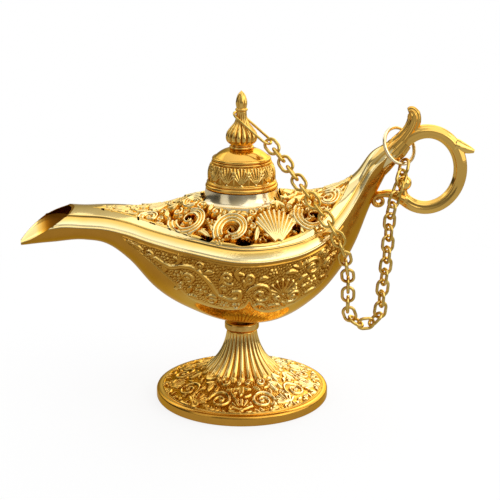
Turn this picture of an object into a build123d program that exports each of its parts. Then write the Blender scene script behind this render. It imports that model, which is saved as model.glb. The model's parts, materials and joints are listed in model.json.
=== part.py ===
from build123d import *
import os
from math import cos, pi, radians, sin, sqrt

# Genie lamp, millimetres. The origin is the centre of the foot's underside, +Z is up,
# the spout points along -X and the handle along +X.

# Foot
BASE_RADIUS = 23.6
BASE_RIM_HEIGHT = 2.6
BASE_LIP_WIDTH = 1.8
BASE_LIP_STEP = 0.6
FOOT_HEIGHT = 19.0
STEM_RADIUS = 4.15
STEM_LENGTH = 0.9
FLARE_SPREAD = 12.0
FLARE_LIFT = 4.6
FLARE_WAIST = 5.4
FLARE_WAIST_HEIGHT = 9.6
FOOT_WALL = 2.2
FOOT_WEB_HEIGHT = 12.0
FOOT_WELL_RADIUS = 3.7
COLLAR_RADIUS = 4.7
COLLAR_HEIGHT = 2.4
COLLAR_ROUND = 0.7

# Screw through the foot
SCREW_RADIUS = 1.5
SCREW_HEAD_RADIUS = 2.6
SCREW_HEAD_HEIGHT = 1.6
SCREW_SLOT_WIDTH = 0.7
SCREW_SLOT_DEPTH = 0.8
SCREW_TAIL = 0.6
WASHER_RADIUS = 3.2
WASHER_HEIGHT = 0.6
NUT_FLATS = 5.5
NUT_HEIGHT = 2.0
SCREW_CLEARANCE = 0.1

# Bowl and spout
SPOUT_REACH = 59.4
TAIL_REACH = 34.0
BOWL_WIDTH = 43.6
BOWL_DEPTH = 22.1
BOWL_WALL = 1.5
BOSS_DROP = 0.5
BOSS_FLOOR = 2.8
BAND_WIDTH = 3.0
BAND_RISE = 3.0
BAND_SHARE = 0.42
CREST_LEAST = 0.3
BULGE = 0.56
MOUTH_ANGLE = 42.0
LIP_THICKNESS = 0.7
SPOUT_SEAM = 33.0
SECTION_COUNT = 26

# Lines of the hull: place along it (-1 spout tip, 0 foot axis, 1 tail) and share of the size.
# Half width against half the bowl's width; heights above the keel against the bowl's depth.
PLAN_LINE = [(-1, 0.09), (-0.95, 0.24), (-0.85, 0.36), (-0.7, 0.395), (-0.6, 0.445), (-0.5, 0.535),
             (-0.4, 0.65), (-0.2, 0.87), (0, 1), (0.3, 0.94), (0.5, 0.82), (0.7, 0.605), (0.8, 0.47),
             (0.9, 0.335), (1, 0.225)]
RIM_LINE = [(-1, 1.05), (-0.95, 1.15), (-0.85, 1.245), (-0.7, 1.25), (-0.6, 1.245), (-0.5, 1.21),
            (-0.4, 1.15), (-0.2, 1.065), (0, 1), (0.3, 1.02), (0.5, 1.077), (0.7, 1.235), (0.8, 1.4),
            (0.9, 1.62), (1, 1.9)]
KEEL_LINE = [(-1, 0.91), (-0.95, 0.945), (-0.85, 0.977), (-0.7, 1.01), (-0.6, 0.96), (-0.5, 0.76),
             (-0.4, 0.465), (-0.2, 0.135), (0, 0), (0.3, 0.05), (0.5, 0.22), (0.7, 0.5), (0.8, 0.71),
             (0.9, 1.01), (1, 1.42)]
CREST_LINE = [(-1, 1.14), (-0.95, 1.29), (-0.85, 1.41), (-0.7, 1.435), (-0.6, 1.42), (-0.5, 1.4),
              (-0.4, 1.41), (-0.2, 1.56), (0, 1.65), (0.3, 1.61), (0.5, 1.6), (0.7, 1.66), (0.8, 1.73),
              (0.9, 1.86), (1, 2.09)]

# Deck
DECK_FRONT = 40.0
DECK_BACK = 29.6
DECK_SILL = 1.09
DECK_CLEARANCE = 0.1
DECK_TIP_GAP = 3.0
# Half width of the deck: place from its front tip (-1) to its back tip (1), share of half the bowl.
DECK_LINE = [(-0.9, 0.09), (-0.75, 0.24), (-0.6, 0.41), (-0.3, 0.715), (0, 0.855), (0.34, 0.79),
             (0.57, 0.65), (0.78, 0.43), (0.91, 0.23)]
PIERCING_RADIUS = 1.1
PIERCING_RING = 14.3
PIERCING_COUNT = 14
FRONT_PIERCINGS = [(-19.5, 4.6), (-19.5, 0), (-24.5, 3.4), (-24.5, 0), (-30, 0)]
BACK_PIERCINGS = [(18.5, 5.2), (18.5, 0), (23, 2.6)]

# Neck ring and lid
NECK_RADIUS = 11.4
NECK_TOP_RADIUS = 9.6
NECK_BORE = 8.2
NECK_DROP = 5.4
NECK_STRAIGHT = 2.3
NECK_WAIST = 10.0
LID_SEAT = 58.7
NECK_FIT = 0.05
LID_FIT = 0.1
PLUG_DEPTH = 3.4
LID_WALL = 1.2
LID_RADIUS = 9.0
LID_BEAD = 0.65
LID_BEAD_RADIUS = 9.0
LID_SHOULDER_RADIUS = 7.6
LID_SHOULDER_HEIGHT = 7.6
LID_UPPER_BEAD = 0.5
LID_HEIGHT = 10.5
LID_BELLY_HEIGHT = 4.2
DOME_SHARE = 0.67

# Finial
PEDESTAL_RADIUS = 2.85
PEDESTAL_HEIGHT = 1.0
PEDESTAL_STEP = 0.3
BULB_RADIUS = 4.1
BULB_RISE = 2.2
BULB_FOOT_RADIUS = 2.7
FINIAL_NECK_RADIUS = 1.3
FINIAL_NECK_HEIGHT = 8.0
BUD_RADIUS = 1.6
BUD_HEIGHT = 11.3
FINIAL_HEIGHT = 15.3
FINIAL_TIP_RADIUS = 0.3
STUD_RADIUS = 1.2
STUD_LENGTH = 3.6
STUD_CLEARANCE = 0.1
FINIAL_NUT_FLATS = 4.0
FINIAL_NUT_HEIGHT = 1.5

# Handle
STEM_MID = (37.6, 66.6)
STEM_MID_RADIUS = 2.95
STEM_ROOT = (32.0, 62.2)
STEM_ROOT_RADIUS = 5.0
LOOP_CENTRE_X = 48.9
LOOP_CENTRE_Z = 63.6
LOOP_HALF_LENGTH = 9.0
LOOP_HALF_HEIGHT = 10.0
LOOP_START = 135.0
LOOP_END = -130.0
LOOP_WIRE = 1.8
STEM_END = 1.95
LOOP_ROOT = 8.0
HANDLE_REACH = 60.4
THORN_PLACE = 28.0
THORN_RISE = 1.1
THORN_RADIUS = 1.1
THORN_TIP = 0.25
LEAF_RADIUS = 1.7
LEAF_HEIGHT = 5.6
LEAF_TIP_RADIUS = 1.15
LEAF_CURL = 1.6
BALL_RADIUS = 1.8
BALL_RISE = 4.3
BALL_STALK = 0.9
SCROLL_RADIUS = 1.5
SCROLL_WIDTH = 3.0
SCROLL_GAP = 0.15
SCROLL_DROP = 1.2
BRACKET_RADIUS = 1.1

# Chain, its jump ring and its wire loop
CHAIN_WIRE = 0.85
CHAIN_PITCH = 3.0
LINK_WIDTH = 3.9
CHAIN_PLAY = 0.4
LINK_TWIST = 38.0
RING_RADIUS = 5.0
RING_WIRE = 0.7
RING_PLACE = 0.8
RING_LEAN = 45.0
LOOP_WIRE_THICK = 0.7
LOOP_LENGTH = 12.6
LOOP_DIP = 36.0
LOOP_TURN = -26.0
LOOP_PLAY = 0.3
# Sag of the chain off the straight line between its ends, lid end first.
CHAIN_SAG = [(2.7, -3.4, -4.7), (5.9, -6.9, -10.6), (8.1, -9.8, -14.9), (10.0, -12.3, -19.3),
             (10.8, -12.1, -24.5), (10.5, -10.4, -29.4), (9.5, -8.3, -33.9), (8.0, -7.1, -38.6),
             (6.5, -6.6, -42.1), (6.0, -6.2, -44.4), (6.8, -5.9, -45.6), (8.0, -5.6, -45.2),
             (8.4, -5.2, -43.1), (7.3, -4.9, -39.8), (5.9, -4.7, -35.2), (5.0, -4.4, -29.1),
             (3.9, -4.0, -21.6), (2.6, -3.9, -14.5), (2.0, -3.6, -10.1), (1.7, -2.7, -6.1),
             (1.1, -1.2, -2.7)]
ROUTE_STEPS = 40


def slope(line, i):
    """Slope of a line of (place, value) points at its point i."""
    if i == 0 or i == len(line) - 1:
        j = max(i, 1)
        return (line[j][1] - line[j - 1][1])/(line[j][0] - line[j - 1][0])
    before = line[i][0] - line[i - 1][0]
    after = line[i + 1][0] - line[i][0]
    rise_before = (line[i][1] - line[i - 1][1])/before
    rise_after = (line[i + 1][1] - line[i][1])/after
    return (rise_before*after + rise_after*before)/(before + after)


def follow(line, place):
    """Value at a place on the smooth curve through a line's points."""
    i = 0
    while i < len(line) - 2 and place > line[i + 1][0]:
        i += 1
    span = line[i + 1][0] - line[i][0]
    t = (place - line[i][0])/span
    start = slope(line, i)*span
    end = slope(line, i + 1)*span
    low = line[i][1]
    high = line[i + 1][1]
    return low + t*start + t*t*(3*(high - low) - 2*start - end) + t*t*t*(start + end - 2*(high - low))


def along(line, front, back, size, base=0.0):
    """A shape line in millimetres: places scaled by the reach of their side, values by a size."""
    return [(place*(front if place < 0 else back), base + value*size) for place, value in line]


KEEL_BOTTOM = FOOT_HEIGHT + COLLAR_HEIGHT + BOSS_DROP
HALF_WIDTH = along(PLAN_LINE, SPOUT_REACH, TAIL_REACH, BOWL_WIDTH/2)
RIM = along(RIM_LINE, SPOUT_REACH, TAIL_REACH, BOWL_DEPTH, KEEL_BOTTOM)
KEEL = along(KEEL_LINE, SPOUT_REACH, TAIL_REACH, BOWL_DEPTH, KEEL_BOTTOM)
CREST = along(CREST_LINE, SPOUT_REACH, TAIL_REACH, BOWL_DEPTH, KEEL_BOTTOM)
DECK_EDGE = along(DECK_LINE, DECK_FRONT, DECK_BACK, BOWL_WIDTH/2)


def hull_section(x, inset):
    """Closed outline of the hull across X, drawn in by a wall."""
    half = follow(HALF_WIDTH, x)
    rim = follow(RIM, x)
    band = min(BAND_WIDTH, BAND_SHARE*half)
    rise = BAND_RISE*band/BAND_WIDTH
    miter = inset*(sqrt(2) - 1)
    keel_z = follow(KEEL, x) + inset
    rim_y = half - inset
    rim_z = rim - miter
    top_y = half - band - miter
    top_z = rim + rise - inset
    crest_z = max(follow(CREST, x), rim + rise + CREST_LEAST) - inset
    keel = Vector(x, 0, keel_z)
    edges = []
    for side in (1, -1):
        rim_point = Vector(x, side*rim_y, rim_z)
        floor_handle = Vector(x, side*BULGE*rim_y, keel_z)
        wall_handle = Vector(x, side*rim_y, rim_z - BULGE*(rim_z - keel_z))
        edges.append(Edge.make_bezier(keel, floor_handle, wall_handle, rim_point))
        edges.append(Edge.make_line(rim_point, Vector(x, side*top_y, top_z)))
    crown_ends = (Vector(x, top_y, top_z), Vector(x, -top_y, top_z))
    edges.append(Edge.make_three_point_arc(crown_ends[0], Vector(x, 0, crest_z), crown_ends[1]))
    return Wire(edges)


def hull(inset, front, back):
    """Solid hull between two places, drawn in by a wall."""
    step = (back - front)/(SECTION_COUNT - 1)
    return Solid.make_loft([hull_section(front + i*step, inset) for i in range(SECTION_COUNT)])


def mouth_cut():
    """Block above the slanting plane of the spout's mouth."""
    size = 2*SPOUT_REACH
    tip = (-SPOUT_REACH, 0, follow(KEEL, -SPOUT_REACH) + LIP_THICKNESS)
    block = Box(size, size, size, align=(Align.CENTER, Align.CENTER, Align.MIN))
    return Pos(*tip)*Rot(0, -MOUTH_ANGLE, 0)*block


def deck_zone(gap):
    """Upright block whose plan is the deck's outline, drawn in by a gap."""
    front = Vector(-DECK_FRONT + DECK_TIP_GAP*gap, 0)
    back = Vector(DECK_BACK - DECK_TIP_GAP*gap, 0)
    sides = []
    for side in (1, -1):
        points = [Vector(x, side*(half - gap)) for x, half in DECK_EDGE]
        sides.append(Edge.make_spline([front] + points + [back]))
    sill = KEEL_BOTTOM + DECK_SILL*BOWL_DEPTH
    face = Face(Wire(sides))
    return Pos(0, 0, sill)*extrude(face, amount=2*BOWL_DEPTH, dir=(0, 0, 1))


def shell():
    """The hollow hull with its mouth cut open, deck still in one with it."""
    back_wall = TAIL_REACH - BOWL_WALL
    front_wall = -SPOUT_REACH + BOWL_WALL
    cavity = hull(BOWL_WALL, front_wall, back_wall)
    return hull(0, -SPOUT_REACH, TAIL_REACH) - cavity - mouth_cut()


def upright(radius, bottom, top):
    """Cylinder on the foot axis between two heights."""
    return Pos(0, 0, bottom)*Cylinder(radius, top - bottom, align=(Align.CENTER, Align.CENTER, Align.MIN))


def piercings():
    """Upright drills through the deck."""
    places = []
    for i in range(PIERCING_COUNT):
        angle = 2*pi*(i + 0.5)/PIERCING_COUNT
        places.append((PIERCING_RING*cos(angle), PIERCING_RING*sin(angle)))
    for x, y in FRONT_PIERCINGS + BACK_PIERCINGS:
        places.append((x, y))
        if y:
            places.append((x, -y))
    drill = upright(PIERCING_RADIUS, KEEL_BOTTOM + BOWL_DEPTH, KEEL_BOTTOM + 3*BOWL_DEPTH)
    return [Pos(x, y, 0)*drill for x, y in places]


BOWL_SEAT = FOOT_HEIGHT + COLLAR_HEIGHT
NUT_SEAT = KEEL_BOTTOM + BOSS_FLOOR


def spout_zone():
    """Block that holds all of the hull in front of the seam between spout and bowl."""
    size = 2*SPOUT_REACH
    block = Box(size, size, size, align=(Align.MAX, Align.CENTER, Align.CENTER))
    return Pos(-SPOUT_SEAM, 0, KEEL_BOTTOM + BOWL_DEPTH)*block


def make_bowl(hull_shell):
    """Cast bowl, with a flat boss for the foot and its nut."""
    boss = upright(COLLAR_RADIUS, BOWL_SEAT, NUT_SEAT)
    screw_hole = upright(SCREW_RADIUS + SCREW_CLEARANCE, 0, KEEL_BOTTOM + BOWL_DEPTH)
    return hull_shell - spout_zone() + boss - screw_hole


def make_spout(hull_shell):
    """Cast spout, open at its slanting mouth and where it meets the bowl."""
    return hull_shell & spout_zone()


def make_deck(lamp_shell):
    """Pierced vault that fills the bowl's opening."""
    bore = upright(NECK_RADIUS + NECK_FIT, KEEL_BOTTOM, KEEL_BOTTOM + 3*BOWL_DEPTH)
    return (lamp_shell & deck_zone(DECK_CLEARANCE)) - bore - piercings()


def run(points):
    """Straight edges through (radius, height) points."""
    return [Line((*a,), (*b,)) for a, b in zip(points, points[1:])]


def profile(edges):
    """Turned solid from edges drawn as (radius, height) in the XY plane."""
    face = make_face(edges)
    return revolve(Plane.XZ*face, axis=Axis.Z)


def make_foot():
    """Flared stem and round base, hollow underneath."""
    lip = (BASE_RADIUS - BASE_LIP_WIDTH, BASE_RIM_HEIGHT + BASE_LIP_STEP)
    stem = (STEM_RADIUS, FOOT_HEIGHT - STEM_LENGTH)
    hole = SCREW_RADIUS + SCREW_CLEARANCE
    skirt = (BASE_RADIUS - FOOT_WALL, FOOT_WALL/2)
    well = (FOOT_WELL_RADIUS, FOOT_WEB_HEIGHT)
    flare = Bezier(lip, (FLARE_SPREAD, FLARE_LIFT), (FLARE_WAIST, FLARE_WAIST_HEIGHT), stem)
    hollow = Bezier(well, (FLARE_WAIST - FOOT_WALL/2, FLARE_WAIST_HEIGHT - FOOT_WALL),
                    (FLARE_SPREAD - FOOT_WALL/2, FLARE_LIFT - FOOT_WALL), skirt)
    outside = run([(BASE_RADIUS, 0), (BASE_RADIUS, BASE_RIM_HEIGHT), lip])
    top = run([stem, (STEM_RADIUS, FOOT_HEIGHT), (hole, FOOT_HEIGHT), (hole, FOOT_WEB_HEIGHT), well])
    underside = run([skirt, (BASE_RADIUS - FOOT_WALL, 0), (BASE_RADIUS, 0)])
    return profile(outside + [flare] + top + [hollow] + underside)


def make_foot_collar():
    """Rounded ring between the foot and the bowl."""
    ring = upright(COLLAR_RADIUS, FOOT_HEIGHT, BOWL_SEAT)
    ring = fillet(ring.edges().filter_by(GeomType.CIRCLE), COLLAR_ROUND)
    return ring - upright(SCREW_RADIUS + SCREW_CLEARANCE, FOOT_HEIGHT, BOWL_SEAT)


def make_foot_washer():
    """Washer under the screw's head."""
    low = FOOT_WEB_HEIGHT - WASHER_HEIGHT
    hole = upright(SCREW_RADIUS + SCREW_CLEARANCE, low, FOOT_WEB_HEIGHT)
    return upright(WASHER_RADIUS, low, FOOT_WEB_HEIGHT) - hole


def make_foot_screw():
    """Slotted screw up through the foot into the bowl."""
    head_top = FOOT_WEB_HEIGHT - WASHER_HEIGHT
    head_low = head_top - SCREW_HEAD_HEIGHT
    shank = upright(SCREW_RADIUS, head_top, NUT_SEAT + NUT_HEIGHT + SCREW_TAIL)
    slot = Pos(0, 0, head_low)*Box(3*SCREW_HEAD_RADIUS, SCREW_SLOT_WIDTH, 2*SCREW_SLOT_DEPTH)
    return upright(SCREW_HEAD_RADIUS, head_low, head_top) + shank - slot


def hex_nut(flats, height, bottom, hole):
    """Hexagonal nut on the foot axis."""
    prism = extrude(RegularPolygon(flats/2, 6, major_radius=False), amount=height)
    return Pos(0, 0, bottom)*prism - upright(hole, bottom, bottom + height)


def make_bowl_nut():
    """Nut on the foot screw, inside the bowl."""
    return hex_nut(NUT_FLATS, NUT_HEIGHT, NUT_SEAT, SCREW_RADIUS + SCREW_CLEARANCE/2)


def make_neck_ring():
    """Plain ring in the deck's bore, waisted up to the lid's seat."""
    low = LID_SEAT - NECK_DROP
    waist_low = low + NECK_STRAIGHT
    waist = Bezier((NECK_RADIUS, waist_low), (NECK_WAIST, waist_low), (NECK_TOP_RADIUS, LID_SEAT))
    edges = run([(NECK_TOP_RADIUS, LID_SEAT), (NECK_BORE, LID_SEAT), (NECK_BORE, low), (NECK_RADIUS, low),
                 (NECK_RADIUS, waist_low)])
    return profile(edges + [waist])


LID_TOP = LID_SEAT + LID_HEIGHT


def make_lid():
    """Hollow dome with a bead at its foot and shoulder, and a plug that drops into the neck."""
    plug = NECK_BORE - LID_FIT
    belly_z = LID_SEAT + LID_BELLY_HEIGHT
    shoulder = (LID_SHOULDER_RADIUS, LID_SEAT + LID_SHOULDER_HEIGHT)
    wall_foot = (LID_RADIUS, LID_SEAT + 2*LID_BEAD)
    side = Bezier(wall_foot, (LID_RADIUS, belly_z), (LID_RADIUS, belly_z + LID_WALL), shoulder)
    dome = Bezier(shoulder, (LID_SHOULDER_RADIUS*DOME_SHARE, LID_TOP), (PEDESTAL_RADIUS, LID_TOP))
    inner_shoulder = (LID_SHOULDER_RADIUS - LID_WALL, LID_SEAT + LID_SHOULDER_HEIGHT - LID_WALL)
    inner_top = LID_TOP - LID_WALL
    landing = (STUD_RADIUS + LID_WALL, inner_top)
    inner_dome = Bezier(landing, (inner_shoulder[0]*DOME_SHARE, inner_top), inner_shoulder)
    bore = plug - LID_WALL
    inner_side = Bezier(inner_shoulder, (bore, belly_z + LID_WALL), (bore, belly_z))
    hole = STUD_RADIUS + STUD_CLEARANCE
    edges = run([(plug, LID_SEAT), (LID_RADIUS, LID_SEAT), wall_foot])
    edges += [side, dome]
    edges += run([(PEDESTAL_RADIUS, LID_TOP), (hole, LID_TOP), (hole, inner_top), landing])
    edges += [inner_dome, inner_side]
    plug_end = LID_SEAT - PLUG_DEPTH
    edges += run([(bore, belly_z), (bore, plug_end), (plug, plug_end), (plug, LID_SEAT)])
    foot_bead = Pos(0, 0, LID_SEAT + LID_BEAD)*Torus(LID_BEAD_RADIUS, LID_BEAD)
    shoulder_bead = Pos(0, 0, shoulder[1])*Torus(LID_SHOULDER_RADIUS - LID_UPPER_BEAD/2, LID_UPPER_BEAD)
    hollow = upright(bore, plug_end, belly_z)
    return profile(edges) + (foot_bead - hollow) + shoulder_bead


def make_finial():
    """Bulb, bud and the stud that holds them to the lid."""
    bulb_z = LID_TOP + PEDESTAL_HEIGHT
    neck = (FINIAL_NECK_RADIUS, LID_TOP + FINIAL_NECK_HEIGHT)
    bud = (BUD_RADIUS, LID_TOP + BUD_HEIGHT)
    tip_z = LID_TOP + FINIAL_HEIGHT
    stud_end = LID_TOP - STUD_LENGTH
    stud = [(0, stud_end), (STUD_RADIUS, stud_end), (STUD_RADIUS, LID_TOP)]
    step = [(PEDESTAL_RADIUS, LID_TOP), (PEDESTAL_RADIUS, bulb_z - PEDESTAL_STEP), (BULB_FOOT_RADIUS, bulb_z)]
    pedestal = run(stud + step)
    widest = (BULB_RADIUS, bulb_z + BULB_RISE)
    belly = Bezier((BULB_FOOT_RADIUS, bulb_z), (BULB_RADIUS, bulb_z), widest)
    pull = (FINIAL_NECK_RADIUS, neck[1] - BULB_RISE)
    shoulder = Bezier(widest, (BULB_RADIUS, bulb_z + 2*BULB_RISE), pull, neck)
    swell = Bezier(neck, (FINIAL_NECK_RADIUS, neck[1] + BUD_RADIUS/2), (BUD_RADIUS, bud[1] - BUD_RADIUS), bud)
    point = Bezier(bud, (BUD_RADIUS, bud[1] + BUD_RADIUS), (FINIAL_TIP_RADIUS, tip_z))
    closing = run([(FINIAL_TIP_RADIUS, tip_z), (0, tip_z), (0, stud_end)])
    return profile(pedestal + [belly, shoulder, swell, point] + closing)


def make_finial_nut():
    """Nut on the finial's stud, inside the lid."""
    bottom = LID_TOP - LID_WALL - FINIAL_NUT_HEIGHT
    return hex_nut(FINIAL_NUT_FLATS, FINIAL_NUT_HEIGHT, bottom, STUD_RADIUS + STUD_CLEARANCE/2)


def loop_point(degrees_round):
    """Point of the handle's loop, on its centre line."""
    angle = radians(degrees_round)
    return Vector(LOOP_CENTRE_X + LOOP_HALF_LENGTH*cos(angle), 0, LOOP_CENTRE_Z + LOOP_HALF_HEIGHT*sin(angle))


def loop_heading(degrees_round):
    """Direction of the loop's centre line, clockwise as seen from the near side."""
    angle = radians(degrees_round)
    return Vector(LOOP_HALF_LENGTH*sin(angle), 0, -LOOP_HALF_HEIGHT*cos(angle)).normalized()


def rod(start, end, start_radius, end_radius):
    """Tapered rod between two points."""
    length = (end - start).length
    frame = Plane(origin=start, z_dir=end - start)
    return frame*Cone(start_radius, end_radius, length, align=(Align.CENTER, Align.CENTER, Align.MIN))


def ball(centre, radius):
    """Sphere at a point."""
    return Pos(centre.X, centre.Y, centre.Z)*Sphere(radius)


def make_stem():
    """Tapered stem from the bowl's tail to the start of the loop, flat where it meets the tail."""
    root = Vector(STEM_ROOT[0], 0, STEM_ROOT[1])
    middle = Vector(STEM_MID[0], 0, STEM_MID[1])
    stem = rod(root, middle, STEM_ROOT_RADIUS, STEM_MID_RADIUS) + ball(middle, STEM_MID_RADIUS)
    stem += rod(middle, loop_point(LOOP_START), STEM_MID_RADIUS, STEM_END)
    bowl_side = Box(2*TAIL_REACH, BOWL_WIDTH, 4*BOWL_DEPTH, align=(Align.MAX, Align.CENTER, Align.MIN))
    return stem - Pos(TAIL_REACH, 0, KEEL_BOTTOM)*bowl_side


def loop_tube():
    """Round bar of the handle's loop, swept round most of an ellipse."""
    frame = Plane(origin=(LOOP_CENTRE_X, 0, LOOP_CENTRE_Z), x_dir=(0, 0, 1), z_dir=(0, 1, 0))
    start = 90 - LOOP_START - LOOP_ROOT
    path = Edge.make_ellipse(LOOP_HALF_HEIGHT, LOOP_HALF_LENGTH, frame, start, 90 - LOOP_END)
    section = Plane(origin=path@0, z_dir=path%0)*Circle(LOOP_WIRE)
    return sweep(section, path=path)


def scroll_centre():
    """Centre of the small scroll that stands against the bowl's tail."""
    return Vector(TAIL_REACH + SCROLL_RADIUS + SCROLL_GAP, 0, loop_point(LOOP_END).Z - SCROLL_DROP)


def make_handle():
    """Cast handle: stem, loop, leaf, thorn, ball and scroll bracket."""
    stem = make_stem()
    leaf_foot = loop_point(LOOP_START) + loop_heading(LOOP_START)*LOOP_WIRE
    leaf_tip = leaf_foot + Vector(0, 0, LEAF_HEIGHT)
    leaf_end = leaf_tip + Vector(-LEAF_CURL, 0, LEAF_TIP_RADIUS)
    leaf = rod(leaf_foot, leaf_tip, LEAF_RADIUS, LEAF_TIP_RADIUS) + ball(leaf_tip, LEAF_TIP_RADIUS)
    leaf += rod(leaf_tip, leaf_end, LEAF_TIP_RADIUS, LEAF_TIP_RADIUS/2)
    thorn_foot = loop_point(THORN_PLACE)
    thorn_tip = Vector(HANDLE_REACH, 0, thorn_foot.Z + THORN_RISE)
    thorn = rod(thorn_foot, thorn_tip, THORN_RADIUS, THORN_TIP)
    end = loop_point(LOOP_END)
    knob = end + Vector(0, 0, BALL_RISE)
    stalk = rod(end, knob, LOOP_WIRE, BALL_STALK)
    scroll = scroll_centre()
    curl = Pos(scroll.X, scroll.Y, scroll.Z)*Rot(90, 0, 0)*Cylinder(SCROLL_RADIUS, SCROLL_WIDTH)
    bracket = rod(end, scroll, LOOP_WIRE, BRACKET_RADIUS)
    terminal = ball(end, LOOP_WIRE) + stalk + ball(knob, BALL_RADIUS) + bracket + curl
    return stem + loop_tube() + leaf + thorn + terminal


def stadium_wire(length, width, wire):
    """Closed oval of round wire in the XY plane, its centre line of a given length and width."""
    bend = width/2
    straight = length/2 - bend
    section = Plane.XZ*Pos(bend, 0)*Circle(wire/2)
    half_turn = revolve(section, axis=Axis.Z, revolution_arc=180)
    bar = Rot(90, 0, 0)*Cylinder(wire/2, 2*straight)
    first = Pos(0, straight, 0)*half_turn
    second = Rot(0, 0, 180)*first
    return first + second + Pos(bend, 0, 0)*bar + Pos(-bend, 0, 0)*bar


def loop_frame():
    """Axes of the wire loop, down its length and across it, and its far end behind the finial's neck."""
    turn = radians(LOOP_TURN)
    dip = radians(LOOP_DIP)
    flat = Vector(cos(turn), sin(turn), 0)
    length_dir = flat*cos(dip) - Vector(0, 0, sin(dip))
    across = Vector(-sin(turn), cos(turn), 0)
    neck = Vector(0, 0, LID_TOP + FINIAL_NECK_HEIGHT)
    behind = (FINIAL_NECK_RADIUS + LOOP_PLAY)/cos(dip) + LOOP_WIRE_THICK/2
    return length_dir, across, neck - length_dir*behind


def make_finial_loop():
    """Long wire loop round the finial's neck."""
    length_dir, across, back = loop_frame()
    width = 2*(FINIAL_NECK_RADIUS + LOOP_PLAY) + LOOP_WIRE_THICK
    middle = back + length_dir*(LOOP_LENGTH/2)
    frame = Plane(origin=middle, x_dir=across, z_dir=across.cross(length_dir))
    return frame*stadium_wire(LOOP_LENGTH, width, LOOP_WIRE_THICK)


def ring_frame():
    """Centre of the jump ring, its axis, and the direction from its centre to its lowest point."""
    start = Vector(STEM_MID[0], 0, STEM_MID[1])
    end = loop_point(LOOP_START)
    stem_dir = (end - start).normalized()
    lean = radians(RING_LEAN)
    axis = stem_dir*cos(lean) - Vector(0, sin(lean), 0)
    low = (axis*axis.Z - Vector(0, 0, 1)).normalized()
    return start + (end - start)*RING_PLACE, axis, low


def make_chain_ring():
    """Thin jump ring round the handle's stem."""
    centre, axis, _ = ring_frame()
    return Plane(origin=centre, z_dir=axis)*Torus(RING_RADIUS, RING_WIRE/2)


def chain_ends():
    """Points where the chain hooks into the wire loop and into the jump ring."""
    length_dir, across, back = loop_frame()
    loop_end = back + length_dir*LOOP_LENGTH
    upper = loop_end - length_dir*((CHAIN_WIRE + LOOP_WIRE_THICK)/4 + CHAIN_PLAY/2)
    centre, _, low = ring_frame()
    hook = (CHAIN_WIRE + RING_WIRE)/4 + CHAIN_PLAY/2
    lower = centre + low*RING_RADIUS + Vector(0, 0, hook)
    return upper, lower


def chain_route():
    """Fine points along the hanging chain, smooth through its sag points."""
    upper, lower = chain_ends()
    spans = len(CHAIN_SAG) + 1
    points = [upper]
    for i, sag in enumerate(CHAIN_SAG):
        points.append(upper + (lower - upper)*((i + 1)/spans) + Vector(*sag))
    points.append(lower)
    lines = [list(enumerate(getattr(point, axis) for point in points)) for axis in ("X", "Y", "Z")]
    steps = spans*ROUTE_STEPS
    return [Vector(*(follow(line, i/ROUTE_STEPS) for line in lines)) for i in range(steps + 1)]


def march(route, pitch, count):
    """Places of the joints between links: equal chords laid along the route and on past its end."""
    beyond = route[-1] + (route[-1] - route[-2]).normalized()*2*CHAIN_PITCH
    path = route + [beyond]
    nodes = [route[0]]
    i = 1
    for _ in range(count):
        while i < len(path) - 1 and (path[i] - nodes[-1]).length < pitch:
            i += 1
        near = (path[i - 1] - nodes[-1]).length
        far = (path[i] - nodes[-1]).length
        nodes.append(path[i - 1] + (path[i] - path[i - 1])*((pitch - near)/(far - near)))
    return nodes


def chain_nodes():
    """Joint places for a whole number of links that just fill the route."""
    route = chain_route()
    length = sum((b - a).length for a, b in zip(route, route[1:]))
    count = round(length/CHAIN_PITCH)
    end_heading = route[-1] - route[-2]
    short = CHAIN_PITCH*(1 - 1/count)
    long = CHAIN_PITCH*(1 + 1/count)
    for _ in range(ROUTE_STEPS):
        pitch = (short + long)/2
        overshoot = (march(route, pitch, count)[-1] - route[-1]).dot(end_heading)
        if overshoot > 0:
            long = pitch
        else:
            short = pitch
    return march(route, short, count)


def make_chain_links():
    """Oval links, each laid between two joint places and rolled against its neighbours."""
    nodes = chain_nodes()
    pitch = (nodes[1] - nodes[0]).length
    link = stadium_wire(pitch + CHAIN_WIRE + CHAIN_PLAY, LINK_WIDTH - CHAIN_WIRE, CHAIN_WIRE)
    links = []
    for i, (start, end) in enumerate(zip(nodes, nodes[1:])):
        heading = (end - start).normalized()
        side = heading.cross(Vector(0, 1, 0)).normalized()
        roll = LINK_TWIST*(i/len(nodes))**2 + 90*(i % 2)
        across = side.rotate(Axis((0, 0, 0), heading), roll)
        frame = Plane(origin=(start + end)*0.5, x_dir=across, z_dir=across.cross(heading))
        links.append(frame*link)
    return links


def make_nodes():
    """Every piece of the lamp by name."""
    lamp_shell = shell()
    hull_shell = lamp_shell - deck_zone(0)
    nodes = {
        "bowl": make_bowl(hull_shell),
        "spout": make_spout(hull_shell),
        "deck": make_deck(lamp_shell),
        "neck_ring": make_neck_ring(),
        "foot": make_foot(),
        "foot_collar": make_foot_collar(),
        "foot_screw": make_foot_screw(),
        "foot_washer": make_foot_washer(),
        "bowl_nut": make_bowl_nut(),
        "lid": make_lid(),
        "finial": make_finial(),
        "finial_nut": make_finial_nut(),
        "handle": make_handle(),
        "finial_loop": make_finial_loop(),
        "chain_ring": make_chain_ring(),
    }
    for i, link in enumerate(make_chain_links(), start=1):
        nodes[f"chain_link_{i:02d}"] = link
    return nodes


def main():
    os.makedirs("parts", exist_ok=True)
    for name, solid in make_nodes().items():
        export_step(solid, os.path.join("parts", name + ".step"))


if __name__ == "__main__":
    main()
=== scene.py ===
import json
import math

import bpy
import numpy as np
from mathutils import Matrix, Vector
from mathutils.kdtree import KDTree


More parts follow.
